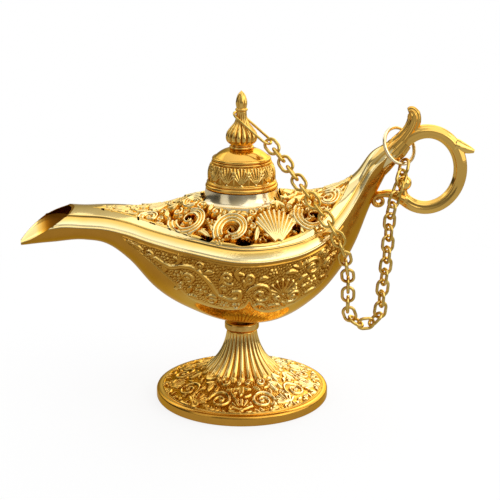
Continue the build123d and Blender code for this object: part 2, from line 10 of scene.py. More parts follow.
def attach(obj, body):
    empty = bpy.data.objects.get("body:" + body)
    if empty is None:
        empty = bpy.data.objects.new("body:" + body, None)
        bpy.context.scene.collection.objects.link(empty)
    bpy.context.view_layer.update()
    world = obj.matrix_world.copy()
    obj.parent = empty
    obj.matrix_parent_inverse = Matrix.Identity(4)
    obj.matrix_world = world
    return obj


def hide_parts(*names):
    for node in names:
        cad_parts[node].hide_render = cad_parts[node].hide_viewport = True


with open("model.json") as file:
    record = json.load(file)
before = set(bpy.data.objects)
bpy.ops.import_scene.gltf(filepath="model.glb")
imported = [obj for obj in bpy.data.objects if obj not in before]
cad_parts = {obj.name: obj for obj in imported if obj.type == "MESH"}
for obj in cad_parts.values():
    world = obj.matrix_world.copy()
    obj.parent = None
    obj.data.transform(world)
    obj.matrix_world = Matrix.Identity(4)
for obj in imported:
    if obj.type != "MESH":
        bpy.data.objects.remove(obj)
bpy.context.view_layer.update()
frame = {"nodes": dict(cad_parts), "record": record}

# Genie lamp. Sizes are in millimetres in the frame's own axes and turn into metres at MM.
# A fade is a pair of values: where a smooth step is still 0 and where it has reached 1.
MM = 0.001

# Bowl and spout
SPOUT_REACH = 59.4
TAIL_REACH = 34.0
TAIL_END = 38.0
BOWL_WIDTH = 43.6
BOWL_DEPTH = 22.1
BOWL_WALL = 1.5
KEEL_BOTTOM = 21.9
BAND_WIDTH = 3.0
BAND_RISE = 3.0
BAND_SHARE = 0.42
CREST_LEAST = 0.3
BULGE = 0.56
MITER = math.sqrt(2) - 1
LIP_THICKNESS = 0.7
DECK_FRONT = 40.0
DECK_BACK = 29.6
MOUTH_ANGLE = 34.0
MOUTH_LENGTH = 13.5
MOUTH_SWELL = 0.3
MOUTH_WALL = 0.35
MOUTH_SKEW = 0.2
SKEW_FADE = (-DECK_FRONT, -SPOUT_REACH + 8)
WALL_FADE = (1, 10)
# Lengths from the spout's tip over which the painted shade inside the bore fades into a paler tone at the
# tip.
BORE_FADE = (9, 4)

# Lines of the hull: place along it (-1 spout tip, 0 foot axis, 1 tail), then share of half the width.
PLAN_LINE = [(-1, 0.12), (-0.975, 0.22), (-0.95, 0.285), (-0.9, 0.35), (-0.85, 0.38), (-0.7, 0.395),
             (-0.6, 0.445), (-0.5, 0.535), (-0.4, 0.65), (-0.2, 0.87), (0, 1), (0.3, 0.94), (0.5, 0.82),
             (0.7, 0.605), (0.8, 0.47), (0.9, 0.335), (1, 0.225), (1.12, 0.145)]
# Place along it, then the rim's, the keel's and the crest's share of the depth.
HULL_LINES = [(-1, 1.05, 0.945, 1.14), (-0.95, 1.15, 0.972, 1.29), (-0.85, 1.245, 1.005, 1.39),
              (-0.7, 1.25, 1.035, 1.415), (-0.6, 1.245, 0.985, 1.405), (-0.5, 1.21, 0.78, 1.39),
              (-0.4, 1.15, 0.465, 1.41), (-0.2, 1.065, 0.135, 1.56), (0, 1, 0, 1.65),
              (0.3, 1.02, 0.05, 1.61), (0.5, 1.077, 0.22, 1.6), (0.7, 1.235, 0.5, 1.66),
              (0.8, 1.4, 0.71, 1.73), (0.9, 1.62, 1.01, 1.86), (1, 1.88, 1.42, 2.08),
              (1.12, 2.06, 1.82, 2.205)]
# Edge of the deck: place along it (-1 front end, 0 foot axis, 1 back end), then share of half the width.
DECK_LINE = [(-1, 0), (-0.9, 0.09), (-0.75, 0.24), (-0.6, 0.41), (-0.3, 0.715), (0, 0.855), (0.34, 0.79),
             (0.57, 0.65), (0.78, 0.43), (0.91, 0.23), (1, 0)]
# Rails and grooves of the band: share of the way up it, half width as a share, height.
BAND_RAILS = [(0.05, 0.045, 0.2), (0.93, 0.05, 0.16), (0.16, 0.05, -0.1), (0.82, 0.05, -0.12)]

# Ornament of a bowl side: place along the hull, length below the rim.
PANEL_TOP = 1.0
PANEL_RELIEF = 0.8
PANEL_SINK = 0.25
PANEL_FADE = (0, 0.5)
STIPPLE_PITCH = 0.7
STIPPLE_RELIEF = 0.26
STIPPLE_FADE = (0, 0.3)
PANEL_BORDER = [(-30.8, 1.2), (-30.2, 2.2), (-25.3, 5.0), (-17.6, 10.5), (-12.7, 15.2), (-5.3, 15.8),
                (0.7, 13.9), (2.1, 11.4), (3.4, 14.6), (6.0, 16.4), (14.4, 15.0), (20.9, 12.8), (24.6, 8.4),
                (26.2, 1.2)]
PANEL_VINE = [(-24.0, 3.4), (-22.3, 4.2), (-18.2, 5.4), (-15.2, 4.2), (-12.4, 4.0), (-8.2, 7.2),
              (-6.1, 10.3), (-2.6, 11.6), (-0.4, 10.4), (-0.6, 8.6), (-2.0, 8.8)]
# Flowers: place, then size.
PANEL_FLOWERS = [(-16.2, 7.4, 1.1), (-10.4, 10.4, 1.2), (-4.4, 14.0, 0.9), (18.0, 9.4, 1.1),
                 (-19.8, 2.9, 0.8), (8.2, 3.2, 0.8), (23.6, 3.4, 0.8)]
# Scrolls: place, then radius, angle of the outer end, and 1 or -1 for the way round.
PANEL_SCROLLS = [(4.9, 9.6, 3.6, -160, 1), (-7.6, 13.0, 1.8, -60, -1), (-3.4, 4.6, 2.0, 60, 1),
                 (13.2, 12.0, 2.2, 120, -1), (18.4, 5.0, 2.4, -120, 1), (22.6, 7.2, 1.7, 30, -1),
                 (-13.6, 7.6, 1.6, 200, 1), (2.0, 4.4, 1.6, 150, -1)]
# Leaves: place, then heading, length and bend.
PANEL_LEAVES = [(-5.6, 6.8, -70, 2.8, 0.5), (-9.6, 4.6, -30, 2.8, 0.5), (-20.4, 5.6, 60, 2.4, 0.6),
                (-13.0, 10.2, 120, 2.8, -0.6), (-11.6, 13.4, 160, 2.4, 0.5), (-25.6, 3.0, 190, 2.8, 0.3),
                (-28.0, 2.2, 185, 1.8, 0.2), (7.0, 13.8, 20, 3.0, -0.5), (14.6, 8.4, -60, 3.2, 0.6),
                (15.6, 9.8, 10, 3.2, 0.6), (14.4, 4.4, 200, 3.0, -0.5), (10.4, 13.2, 60, 2.2, 0.3),
                (20.6, 10.0, 60, 2.6, -0.5), (16.4, 12.8, 10, 2.8, -0.4), (21.4, 4.2, -40, 2.6, 0.6),
                (0.8, 7.0, -80, 2.4, 0.5), (-15.4, 11.6, 150, 2.2, 0.4), (4.6, 5.0, -30, 2.4, 0.6)]
# Shell: place, then radius, spread and ribs.
PANEL_SHELL = (10.6, 10.4, 4.6, 150, 9)

# Ornament of a deck side: place along the hull, length over the vault from its middle line.
DECK_RELIEF = 1.1
DECK_SINK = 0.5
WELL_DEPTH = 1.3
WELL_FADE = (0.1, 0.8)
WELL_OPEN = 0.97
MARGIN_FADE = (0.1, 0.5)
HOLE_FADE = (-0.5, -0.1)
# Scrolls: place, then radius, ribs, angle of the outer end, and sweep.
DECK_SCROLLS = [(-13.6, -11.4, 5.4, 3, 170, 270), (-2.4, -17.4, 4.9, 3, 200, -290),
                (18.6, -11.2, 5.2, 3, 150, 230), (-12.4, -4.4, 3.8, 3, 0, 270),
                (22.6, -5.4, 3.4, 3, 100, -250), (-24.2, -6.8, 2.9, 2, 200, -250)]
# Shells: place, then radius, heading, spread and ribs.
DECK_SHELLS = [(9.6, -21.0, 10.0, 97, 78, 11), (29.0, 0.0, 6.4, 180, 110, 9),
               (-19.4, -1.0, 5.0, 170, 100, 7)]
# Leaves: place, then heading, length and bend.
DECK_LEAVES = [(-20.4, -10.8, 150, 4.4, 0.4), (-19.2, -8.2, 110, 3.4, -0.5), (-27.6, -4.4, 165, 3.6, 0.3),
               (-31.0, -2.6, 170, 3.4, 0.3), (-34.4, -1.4, 175, 3.0, 0.2), (-25.0, -2.4, 180, 4.0, -0.3),
               (-30.0, -0.6, 180, 4.0, 0.0), (-8.2, -18.6, 120, 3.6, 0.5), (-16.2, -17.0, 170, 3.6, -0.4),
               (14.6, -18.8, 60, 4.2, -0.5), (18.0, -16.6, 40, 5.0, -0.3), (12.0, -7.6, 40, 3.2, 0.6),
               (3.6, -20.6, 70, 3.8, 0.4), (13.6, -4.6, 20, 3.6, 0.4), (16.4, -2.0, 0, 3.4, 0.3),
               (-8.4, -10.0, 60, 2.6, 0.4)]
# Flowers, round holes and wide gaps: place, then size.
DECK_FLOWERS = [(-5.6, -20.4, 0.9), (-7.6, -14.6, 0.8), (20.4, -15.6, 0.8), (13.0, -12.0, 0.7)]
DECK_HOLES = [(-13.4, -10.6, 1.1), (-9.2, -17.6, 1.2), (-2.6, -17.0, 1.3), (1.6, -21.4, 1.3),
              (5.4, -19.4, 1.0), (14.2, -15.6, 1.1), (18.8, -10.6, 1.2), (12.0, -5.6, 0.9),
              (-22.0, -4.6, 0.9), (-12.6, -4.6, 0.9), (22.6, -5.4, 0.9), (-28.4, -2.2, 0.7),
              (-17.4, -13.6, 0.9), (-18.2, -6.0, 0.9), (16.8, -5.6, 0.9)]
DECK_GAPS = [(-9.4, -19.2, 2.0), (0.6, -21.4, 2.2), (26.6, -2.2, 1.8)]

# Neck, lid and finial
NECK_RADIUS = 11.4
NECK_BORE = 8.2
LID_SEAT = 58.7
LID_RADIUS = 9.0
LID_BEAD = 0.65
LID_FINE_BEAD = 0.32
LID_WALL = 1.2
LID_FIT = 0.1
LID_FANS = 14
LID_RELIEF = 0.34
LID_SINK = 0.2
LID_BELLY = LID_SEAT + 4.2
LID_SHOULDER = LID_SEAT + 7.6
LID_SHOULDER_RADIUS = 7.6
LID_TOP = LID_SEAT + 10.5
LID_FADES = ((LID_SEAT + 1.9, LID_SEAT + 2.2), (LID_SHOULDER - 0.6, LID_SHOULDER - 0.95))
PLUG_RADIUS = NECK_BORE - LID_FIT
PLUG_BORE = PLUG_RADIUS - LID_WALL
PLUG_DEPTH = 3.4
STUD_RADIUS = 1.2
STUD_LENGTH = 3.6
PEDESTAL_RADIUS = 2.85
BULB_LOBES = 16
BUD_LEAVES = 6
LOBE_DEPTH = 0.15
BRACT_DEPTH = 0.14
LOBE_LEVEL = 0.9
FINIAL_HEIGHT = 15.3
# Turned lines of the finial: radius, height above the lid; then the bead's own radius.
BULB_LINE = [(3.1, 1.2), (3.75, 1.8), (4.15, 2.8), (3.95, 4.1), (3.0, 5.5), (1.85, 7.0), (1.45, 8.4),
             (1.36, 9.8)]
BUD_LINE = [(1.3, 10.7), (1.58, 11.8), (1.42, 13.0), (0.85, 14.4), (0.02, 15.3)]
PEDESTAL_BEADS = [(PEDESTAL_RADIUS, 0.4, 0.4), (PEDESTAL_RADIUS - 0.2, 1.0, 0.22)]
NECK_HEIGHT = 10.3
NECK_BEAD = (1.3, NECK_HEIGHT, 0.36)
BULB_FADES = ((1.3, 2.0), (NECK_HEIGHT - 0.5, NECK_HEIGHT - 1.6))
BUD_FADES = ((NECK_HEIGHT + 0.6, NECK_HEIGHT + 1.2), (FINIAL_HEIGHT - 0.6, 11.3))

# Foot
BASE_RADIUS = 23.6
BASE_RIM_HEIGHT = 2.6
BASE_LIP = BASE_RADIUS - 1.8
HOLLOW_RADIUS = BASE_RADIUS - 2.2
HOLLOW_TOP = 12.0
FOOT_HEIGHT = 19.0
FOOT_BORE = 1.6
STEM_RADIUS = 4.15
FOOT_FLUTES = 26
FLUTE_DEPTH = 0.1
FLUTE_GROWTH = 0.075
FLUTE_LEVEL = 0.85
FLUTE_FADE_IN = (11.2, 9.0)
FLUTE_FADE_OUT = (FOOT_HEIGHT - 0.3, FOOT_HEIGHT - 1.2)
WREATH_COUNT = 9
WREATH_SCROLLS = 16.6
WREATH_SHELLS = 20.2
WREATH_LEAVES = 11.4
WREATH_RELIEF = 0.62
WREATH_SINK = 0.3
WREATH_STIPPLE = 0.12
WREATH_PITCH = 0.62
WREATH_FADES = ((9.6, 10.6), (BASE_LIP + 0.1, BASE_LIP - 0.5))
# Range of x over which the wreath is painted paler towards the handle's side: painted light.
WREATH_FADE_ALONG = (-14, 10)

# Handle, with the lines of its stem, leaf and bracket as x and z.
STEM_UPPER = [(29.4, 60.6), (31.6, 64.2), (33.8, 67.5), (36.0, 69.3), (38.4, 70.9), (40.2, 71.9),
              (42.2, 72.9)]
STEM_LOWER = [(31.2, 50.0), (32.2, 51.0), (33.0, 52.6), (34.2, 55.2), (36.4, 60.0), (39.4, 63.4),
              (43.4, 68.4)]
STEM_WIDTH = [4.2, 4.4, 4.5, 4.3, 3.6, 2.8, 2.0]
STEM_GROOVE = 0.05
STEM_COUNT = 72
LEAF_BASE = [(39.0, 67.2), (40.6, 68.8), (42.6, 71.0)]
LEAF_BASE_RADII = [2.9, 3.1, 2.6]
LEAF_LINE = [(41.4, 70.2), (43.2, 72.5), (44.6, 74.8), (45.2, 76.9), (44.9, 78.5), (44.3, 79.2),
             (43.6, 79.0)]
LEAF_RADII = [2.6, 2.3, 2.0, 1.9, 1.9, 1.75, 0.9]
THORN_PLACE = 28.0
THORN_RADII = [1.9, 1.8, 1.5, 1.25, 0.95, 0.5]
BRACKET_LINE = [(40.6, 56.6), (38.6, 56.9)]
BRACKET_RADII = [1.5, 1.2, 0.9, 0.75, 0.6, 0.4]
SCROLL_CENTRE = (36.6, 55.0)
SCROLL_REACH = 1.8
LOOP_CENTRE = (48.9, 63.4)
LOOP_HALF = (9.0, 10.3)
LOOP_START = 141.0
LOOP_END = -130.0
LOOP_WIRE = 1.8
# Share of the way round the loop, share of its wire's radius.
LOOP_TAPER = [(0, 1.12), (0.2, 1.04), (1, 0.98)]
HANDLE_REACH = 60.4
BALL_RADIUS = 2.0
BALL_RISE = 4.3
BALL_NECK_RADII = [1.6, 1.2, 1.0]

# Jump ring
RING_RADIUS = 5.0
RING_WIRE = 0.48

# Tones, 0 for dark amber to 1 for pale gold: a plain level, and what each feature adds at its full amount.
# Bowl side: 'up' is painted light on faces turned up and painted shade on faces turned down, 'stroke' and
# 'bump' are painted highlight on the raised strokes and stipple, and 'ground' is painted shade on the sunk
# panel ground.
FLANK_TONE = {"plain": 0.44, "up": 0.08, "stroke": 0.26, "bump": 0.26, "ground": -0.17, "worn": 0.45,
              "keel": 0.3}
# Painted reflection on the keel: paler from these lengths below the rim and near the foot axis, and less so
# where the panel covers it.
KEEL_FADE_DOWN = (9, 16)
KEEL_FADE_ALONG = (26, 10)
KEEL_COVERED = 0.6
# Openwork deck: 'stroke' is painted highlight on the raised strokes, and 'well' is painted shade in the
# wells and holes.
DECK_TONE = {"plain": 0.54, "stroke": 0.42, "well": -0.42}
# Foot: 'stroke' and 'bump' are painted highlight on the wreath's strokes and stipple, 'ground' is painted
# shade on its ground, 'side' is painted light on the handle's side, 'flute' is painted highlight on the
# flutes' ridges and 'fluted' is painted shade over the fluted stem.
FOOT_TONE = {"plain": 0.62, "stroke": 0.66, "bump": 0.28, "ground": -0.48, "side": 0.32, "flute": 0.5,
             "fluted": -0.28}
# Lid: 'stroke' is painted highlight on the palmettes, 'ground' is painted shade between them, the up-facing
# slopes carry painted highlight, and 'plug' is painted shade on the plug inside the neck.
LID_TONE = {"plain": 0.6, "stroke": 0.4, "ground": -0.2, "worn": 0.35, "plug": -0.3}
# Finial: 'lobe' and 'bract' are painted highlight on the ridges of the bulb and bud; 'fluted' and 'leafy'
# darken those zones as painted shade in their creases.
FINIAL_TONE = {"plain": 0.66, "lobe": 0.5, "fluted": -0.4, "bract": 0.3, "leafy": -0.22}
# Inside of the bowl and spout: dark painted shade, paler towards the mouth.
BORE_TONE = {"plain": 0.06, "mouth": 0.8}
HANDLE_TONE = {"loop": 0.66, "leaf": 0.6, "leaf_base": 0.62, "thorn": 0.74, "ball_neck": 0.6, "ball": 0.74,
               "end": 0.64, "bracket": 0.58}
# Share of the way up the band, tone: a painted reflection, palest near the band's lower edge and darker
# towards its top.
BAND_TONE = [(0, 0.85), (0.12, 1.0), (0.35, 0.95), (0.6, 0.78), (0.85, 0.7), (1, 0.85)]
# Degrees round the stem from its lower line, tone: painted shade in the two grooves and on the underside,
# palest on the flat sides.
STEM_TONE = [(0, 0.42), (50, 0.46), (56, 0.4), (62, 0.86), (118, 0.94), (124, 0.5), (130, 0.8), (165, 0.74),
             (180, 0.55)]
VAULT_TONE = 0.9
# Lip at the mouth and sill under the deck's edge: painted shade, a dark outline along these edges.
EDGE_TONE = 0.3
TAIL_TONE = 0.4
RIM_TONE = 0.5
# Hollow under the foot and inside of the lid: painted shade.
HOLLOW_TONE = 0.2
RING_TONE = 0.8

# Gold plate's colours by tone, and the tones over which it goes from rough to smooth.
GOLD_STOPS = [(0.0, (0.08, 0.025, 0.002)), (0.3, (0.34, 0.125, 0.008)), (0.55, (0.66, 0.33, 0.045)),
              (0.8, (0.88, 0.58, 0.15)), (1.0, (0.97, 0.82, 0.44))]
ROUGH_TONES = (0.0, 0.7)
# Its mottle of tone and its fine grain: scales of the noise per metre, height in metres.
MOTTLE_SCALE = 260.0
MOTTLE = 0.08
GRAIN_SCALE = 1800.0
GRAIN_HEIGHT = 0.0002
# Tints of metals at grazing angles.
EDGE_TINT = (1.0, 0.8, 0.42, 1.0)
EDGE_PALE = (1.0, 0.96, 0.88, 1.0)
# Plain metals: darker and paler colour, roughness, scale of the mottle, tint at grazing angles.
METALS = {"chain_gold": ((0.54, 0.33, 0.05), (0.83, 0.58, 0.17), 0.16, 500.0, EDGE_TINT),
          "ring_gold": ((0.86, 0.68, 0.36), (0.95, 0.82, 0.55), 0.12, 300.0, EDGE_PALE),
          "fixing_steel": ((0.42, 0.41, 0.39), (0.62, 0.61, 0.58), 0.3, 700.0, EDGE_PALE),
          "collar_gold": ((0.5, 0.26, 0.04), (0.8, 0.5, 0.14), 0.12, 400.0, EDGE_TINT)}
# Metal of each CAD node that isn't chain_gold.
NODE_METALS = {"foot_collar": "collar_gold", "neck_ring": "ring_gold", "chain_ring": "ring_gold",
               "foot_screw": "fixing_steel", "foot_washer": "fixing_steel", "bowl_nut": "fixing_steel",
               "finial_nut": "fixing_steel"}

# Floor, in metres; its glow as other surfaces see it, and the glow's share near the object and far out.
FLOOR_REACH = 4.0
FLOOR_COLOUR = (0.9, 0.9, 0.9, 1)
FLOOR_ROUGHNESS = 0.8
FLOOR_GLOW = 0.5
FLOOR_FADE = (0.02, 0.16)
GLOW_SHARE = (0.82, 1.0)
WHITE = (1, 1, 1, 1)

# Glow of the studio all round: axis of the heading, its range, the glow's range over it.
OVERHEAD = ("Z", (0.05, 0.75), (0.22, 0.76))
ASIDE = ("X", (-1.0, 0.2), (0.2, 1.0))
BEHIND = ("Y", (0.3, 0.95), (0.0, 0.35))
HANDLE_SIDE = ("X", (-0.2, 0.1), (0.15, 1.0))

# Lamps: name, place, point aimed at, width and height, power.
LIGHTS = [("key", (330, -330, 460), (0, 0, 40), (640, 640), 1.25),
          ("fill", (-420, -300, 260), (0, 0, 45), (260, 420), 0.22),
          ("side", (430, -150, 190), (10, 0, 20), (420, 300), 0.5),
          ("back", (380, 260, 210), (14, 0, 10), (360, 260), 0.32),
          ("window", (192, 480, 280), (12, 0, 4), (360, 420), 0.6),
          ("rear", (-430, 370, 360), (36, 0, 65), (460, 360), 0.38),
          ("top", (-60, 170, 560), (0, 0, 50), (900, 760), 1.55)]

# Camera of the photograph
CAMERA_PLACE = (2.22, -340.0, 139.4)
CAMERA_PITCH = 16.1
CAMERA_LENS = 94.6
CAMERA_SENSOR = 36.0


def even(count):
    """Evenly spaced shares from 0 to 1."""
    return np.linspace(0, 1, count)


def grid(x, y, z):
    """Points from arrays of x, y and z."""
    return np.stack(np.broadcast_arrays(x, y, z), axis=-1)


def turn_angles(count):
    """Angles once round, as a column."""
    return np.linspace(0, 2*np.pi, count, endpoint=False)[:, None]


def follow(line, x):
    """Value at each place on the smooth curve through a line's points."""
    px, py = np.array(line, float).T
    slope = np.gradient(py, px)
    i = np.clip(np.searchsorted(px, x, side="right") - 1, 0, len(px) - 2)
    gap = px[i + 1] - px[i]
    t = (x - px[i])/gap
    start = slope[i]*gap
    end = slope[i + 1]*gap
    step = py[i + 1] - py[i]
    return py[i] + t*start + t*t*(3*step - 2*start - end) + t**3*(start + end - 2*step)


def along(line, front, back, size, base=0.0):
    """A shape line in millimetres."""
    return [(place*(front if place < 0 else back), base + value*size) for place, value in line]


HALF_WIDTH = along(PLAN_LINE, SPOUT_REACH, TAIL_REACH, BOWL_WIDTH/2)
PLACES, *DEPTHS = zip(*HULL_LINES)
RIM, KEEL, CREST = (along(zip(PLACES, depths), SPOUT_REACH, TAIL_REACH, BOWL_DEPTH, KEEL_BOTTOM)
                    for depths in DEPTHS)
DECK_EDGE = along(DECK_LINE, DECK_FRONT, DECK_BACK, BOWL_WIDTH/2)


def smooth(fade, value):
    """Smooth step from 0 at the fade's first value to 1 at its second."""
    low, high = fade
    t = np.clip((value - low)/(high - low), 0, 1)
    return t*t*(3 - 2*t)


def between(fades, value):
    """Smooth rise from 0 to 1 by the first fade and fall back to 0 by the second."""
    return smooth(fades[0], value)*smooth(fades[1], value)


def bell(value, place, width):
    """Round bump of height 1 about a place."""
    return np.exp(-((value - place)/width)**2)


def lobes(count, angle, power):
    """Rounded lobes about an axis, 0 in the creases between them and 1 at their middles."""
    return np.abs(np.sin(count*angle/2))**power


def tone_of(weights, **amounts):
    """A plain tone and what each feature adds to it."""
    return weights["plain"] + sum(weights[name]*amount for name, amount in amounts.items())


def around(centre, reach, angle):
    """Points of a plane at a reach and an angle from a centre."""
    return np.stack([centre[0] + reach*np.cos(angle), centre[1] + reach*np.sin(angle)], axis=-1)


def bezier(points, count):
    """Points of a Bezier curve of any degree."""
    t = even(count)[:, None]
    n = len(points) - 1
    return sum(math.comb(n, i)*t**i*(1 - t)**(n - i)*np.array(p, float) for i, p in enumerate(points))


def lengths(points):
    """Length along a line of points at each of them."""
    return np.concatenate([[0], np.cumsum(np.linalg.norm(np.diff(points, axis=0), axis=1))])


def through(places, points, t):
    """Smooth curve that passes each point at its place, at each t."""
    return np.stack([follow(list(zip(places, column)), t) for column in np.transpose(points)], axis=1)


def curve(points, step):
    """Even points on a smooth curve through a few points, at least 8."""
    points = np.array(points, float)
    places = lengths(points)
    return through(places, points, np.linspace(0, places[-1], max(8, int(places[-1]/step))))


def respace(profile, step):
    """A profile's points, laid again at an even step."""
    places = lengths(profile)
    t = np.linspace(0, places[-1], int(places[-1]/step))
    return np.stack([np.interp(t, places, column) for column in profile.T], axis=1)


# Meshes


def add_object(name, data):
    """A new object in the scene."""
    made = bpy.data.objects.new(name, data)
    bpy.context.scene.collection.objects.link(made)
    return made


class Skin:
    """Quads and point tones gathered from grids and made into one piece."""

    def __init__(self):
        self.points = []
        self.quads = []
        self.tones = []
        self.count = 0

    def add(self, points, tone, ring=False, keep=None):
        """A grid of points; ring joins its last row to its first, keep marks the points that stay."""
        rows, columns = points.shape[:2]
        index = np.arange(rows*columns).reshape(rows, columns)
        if ring:
            index = np.vstack([index, index[:1]])
        quads = np.stack([index[:-1, :-1], index[1:, :-1], index[1:, 1:], index[:-1, 1:]], axis=-1)
        quads = quads.reshape(-1, 4)
        if keep is not None:
            quads = quads[keep.reshape(-1)[quads].any(axis=1)]
        self.points.append(points.reshape(-1, 3))
        self.quads.append(quads + self.count)
        self.tones.append(np.broadcast_to(tone, points.shape[:2]).reshape(-1))
        self.count += rows*columns

    def mesh(self, name):
        """Smooth mesh of all the grids, with the tones as a point attribute."""
        points = np.concatenate(self.points)*MM
        quads = np.concatenate(self.quads)
        mesh = bpy.data.meshes.new(name)
        mesh.from_pydata(points.tolist(), [], quads.tolist(), shade_flat=False)
        tone = mesh.attributes.new("tone", "FLOAT", "POINT")
        tone.data.foreach_set("value", np.concatenate(self.tones).astype(np.float32))
        return mesh

    def piece(self, name, material, body, *nodes, slot="gold"):
        """The piece, riding on a body in the place of CAD nodes."""
        mesh = self.mesh(name)
        mesh.materials.append(material)
        piece = add_object(name, mesh)
        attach(piece, body)
        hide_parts(*nodes)


def facing(points, ring=False):
    """Unit normals of a grid of points."""
    if ring:
        along_rows = np.roll(points, -1, axis=0) - np.roll(points, 1, axis=0)
    else:
        along_rows = np.gradient(points, axis=0)
    normal = np.cross(along_rows, np.gradient(points, axis=1))
    length = np.linalg.norm(normal, axis=-1, keepdims=True)
    return normal/np.maximum(length, 1e-9)


def turned(profile, count):
    """Grid turned about the foot axis from radii and heights: its points, angles, radii and heights."""
    angle = turn_angles(count)
    radius, height = (np.broadcast_to(column, (count, len(profile))) for column in profile.T)
    return grid(radius*np.cos(angle), radius*np.sin(angle), height), angle, radius, height


def tube(path, radius, count, flat=1.0, flutes=0, depth=0.0):
    """Grid round a path in the XZ plane; flat widens it along Y, flutes groove it along its length."""
    heading = np.gradient(path, axis=0)
    heading /= np.linalg.norm(heading, axis=1, keepdims=True)
    side = grid(-heading[:, 2], 0, heading[:, 0])
    angle = turn_angles(count)
    groove = 1 - depth*(0.5 + 0.5*np.cos(flutes*angle)) if flutes else 1.0
    size = radius[None, :]*groove
    points = path[None, :, :] + side[None, :, :]*(size*np.cos(angle))[..., None]
    points[..., 1] += flat*size*np.sin(angle)
    return points


# Ornament

STROKE_STEP = 0.15
SPIRAL_POINTS = 40
RIB_GROOVE = 0.22
GOLDEN_ANGLE = 137.5
FILLINGS_MOST = 400
FILL_INSIDE = 0.9


class Ornament:
    """Raised strokes on a flat sheet, looked up by nearest stroke point."""

    def __init__(self):
        self.places = []
        self.traits = []

    def lay(self, places, width, height, ribs=0):
        """Points of a stroke with their half widths, heights and counts of ribs."""
        self.places.append(places)
        traits = [np.broadcast_to(trait, len(places)) for trait in (width, height, ribs)]
        self.traits.append(np.stack(traits, axis=1))

    def stroke(self, points, width, height=1.0, ribs=0, taper=0.0):
        """A line of a half width; taper narrows it towards its end."""
        path = curve(points, STROKE_STEP)
        self.lay(path, width*(1 - taper*even(len(path))), height, ribs)

    def spiral(self, centre, radius, turns, start, side, width, height, ribs=0):
        """A scroll wound in from its outer end to a bead at its centre."""
        t = even(SPIRAL_POINTS)
        angle = np.radians(start) + side*2*np.pi*turns*t
        self.stroke(around(centre, radius*(1 - 0.86*t**0.9), angle), width, height, ribs, taper=0.35)
        self.bead(centre, width*1.1, height)

    def bead(self, centre, radius, height):
        """A round boss."""
        self.lay(np.array([centre], float), radius, height)

    def leaf(self, foot, heading, length, width, bend, height):
        """A pointed leaf, swollen in its middle, bending to one side."""
        t = even(max(6, int(length/STROKE_STEP)))
        angle = math.radians(heading) + bend*t
        steps = np.stack([np.cos(angle), np.sin(angle)], axis=1)*(length/len(t))
        swelling = np.sin(np.pi*(0.12 + 0.85*t))**0.8
        self.lay(np.array(foot) + np.cumsum(steps, axis=0), width*swelling + 0.05, height, ribs=1)

    def shell(self, foot, radius, heading, spread, ribs, width, height):
        """A scallop: ribs fanning from a foot, swelling outwards, with a bead at the foot."""
        for share in even(ribs):
            angle = math.radians(heading + spread*(share - 0.5))
            reach = radius*(1 - 0.22*(2*share - 1)**2)
            t = np.linspace(0.16, 1, max(8, int(reach/STROKE_STEP)))
            self.lay(around(foot, reach*t, angle), width*(0.35 + 0.65*t), height*(0.75 + 0.25*t))
        self.bead(foot, width*1.6, height)

    def relief(self, x, y):
        """Height of the strokes and distance beyond their edges at arrays of places."""
        places = np.concatenate(self.places)
        tree = KDTree(len(places))
        for i, (px, py) in enumerate(places):
            tree.insert((px, py, 0), i)
        tree.balance()
        found = [tree.find((px, py, 0))[1:] for px, py in zip(x.ravel(), y.ravel())]
        nearest = np.array([i for i, _ in found])
        distance = np.array([d for _, d in found])
        width, height, ribs = np.concatenate(self.traits)[nearest].T
        share = distance/width
        dome = np.sqrt(np.clip(1 - share**2, 0, 1))
        groove = np.where(ribs > 0, RIB_GROOVE*(0.5 + 0.5*np.cos(2*np.pi*ribs*share)), 0)
        raised = height*dome*(1 - groove)
        return raised.reshape(x.shape), (distance - width).reshape(x.shape)


def flower(ornament, centre, size):
    """Five round petals about a bead."""
    for petal in range(5):
        ornament.bead(around(centre, size, math.radians(72*petal + 18)), 0.55*size, 0.75)
    ornament.bead(centre, 0.5*size, 1.0)


def sprig(ornament, centre, heading, size, side):
    """Three small leaves fanning from one foot."""
    foot = around(centre, -0.7*size, math.radians(heading))
    for spread in (-50, 0, 50):
        ornament.leaf(foot, heading + spread, 1.6*size, 0.34*size, 0.3*side, 0.85)


def fill_bare(ornament, x, y, bare, least, most):
    """Small scrolls and sprigs in the widest bare places, until none is wider than the least size."""
    for k in range(FILLINGS_MOST):
        i = np.unravel_index(np.argmax(bare), bare.shape)
        if bare[i] < least:
            return
        centre = (x[i], y[i])
        size = min(bare[i], most)
        heading = GOLDEN_ANGLE*k
        side = 1 if k % 4 < 2 else -1
        if k % 2:
            ornament.spiral(centre, 0.8*size, 1.3, heading, side, 0.26*size, 0.85)
        else:
            sprig(ornament, centre, heading, size, side)
        bare = np.minimum(bare, np.hypot(x - x[i], y - y[i]) - size)


def filled_relief(ornament, x, y, open_to, every, least, most):
    """Relief over a grid, once its bare places are filled; every thins the grid for that search."""
    coarse = tuple(slice(None, None, step) for step in every)
    bare = np.where(open_to[coarse], ornament.relief(x[coarse], y[coarse])[1], 0)
    fill_bare(ornament, x[coarse], y[coarse], bare, least, most)
    return ornament.relief(x, y)


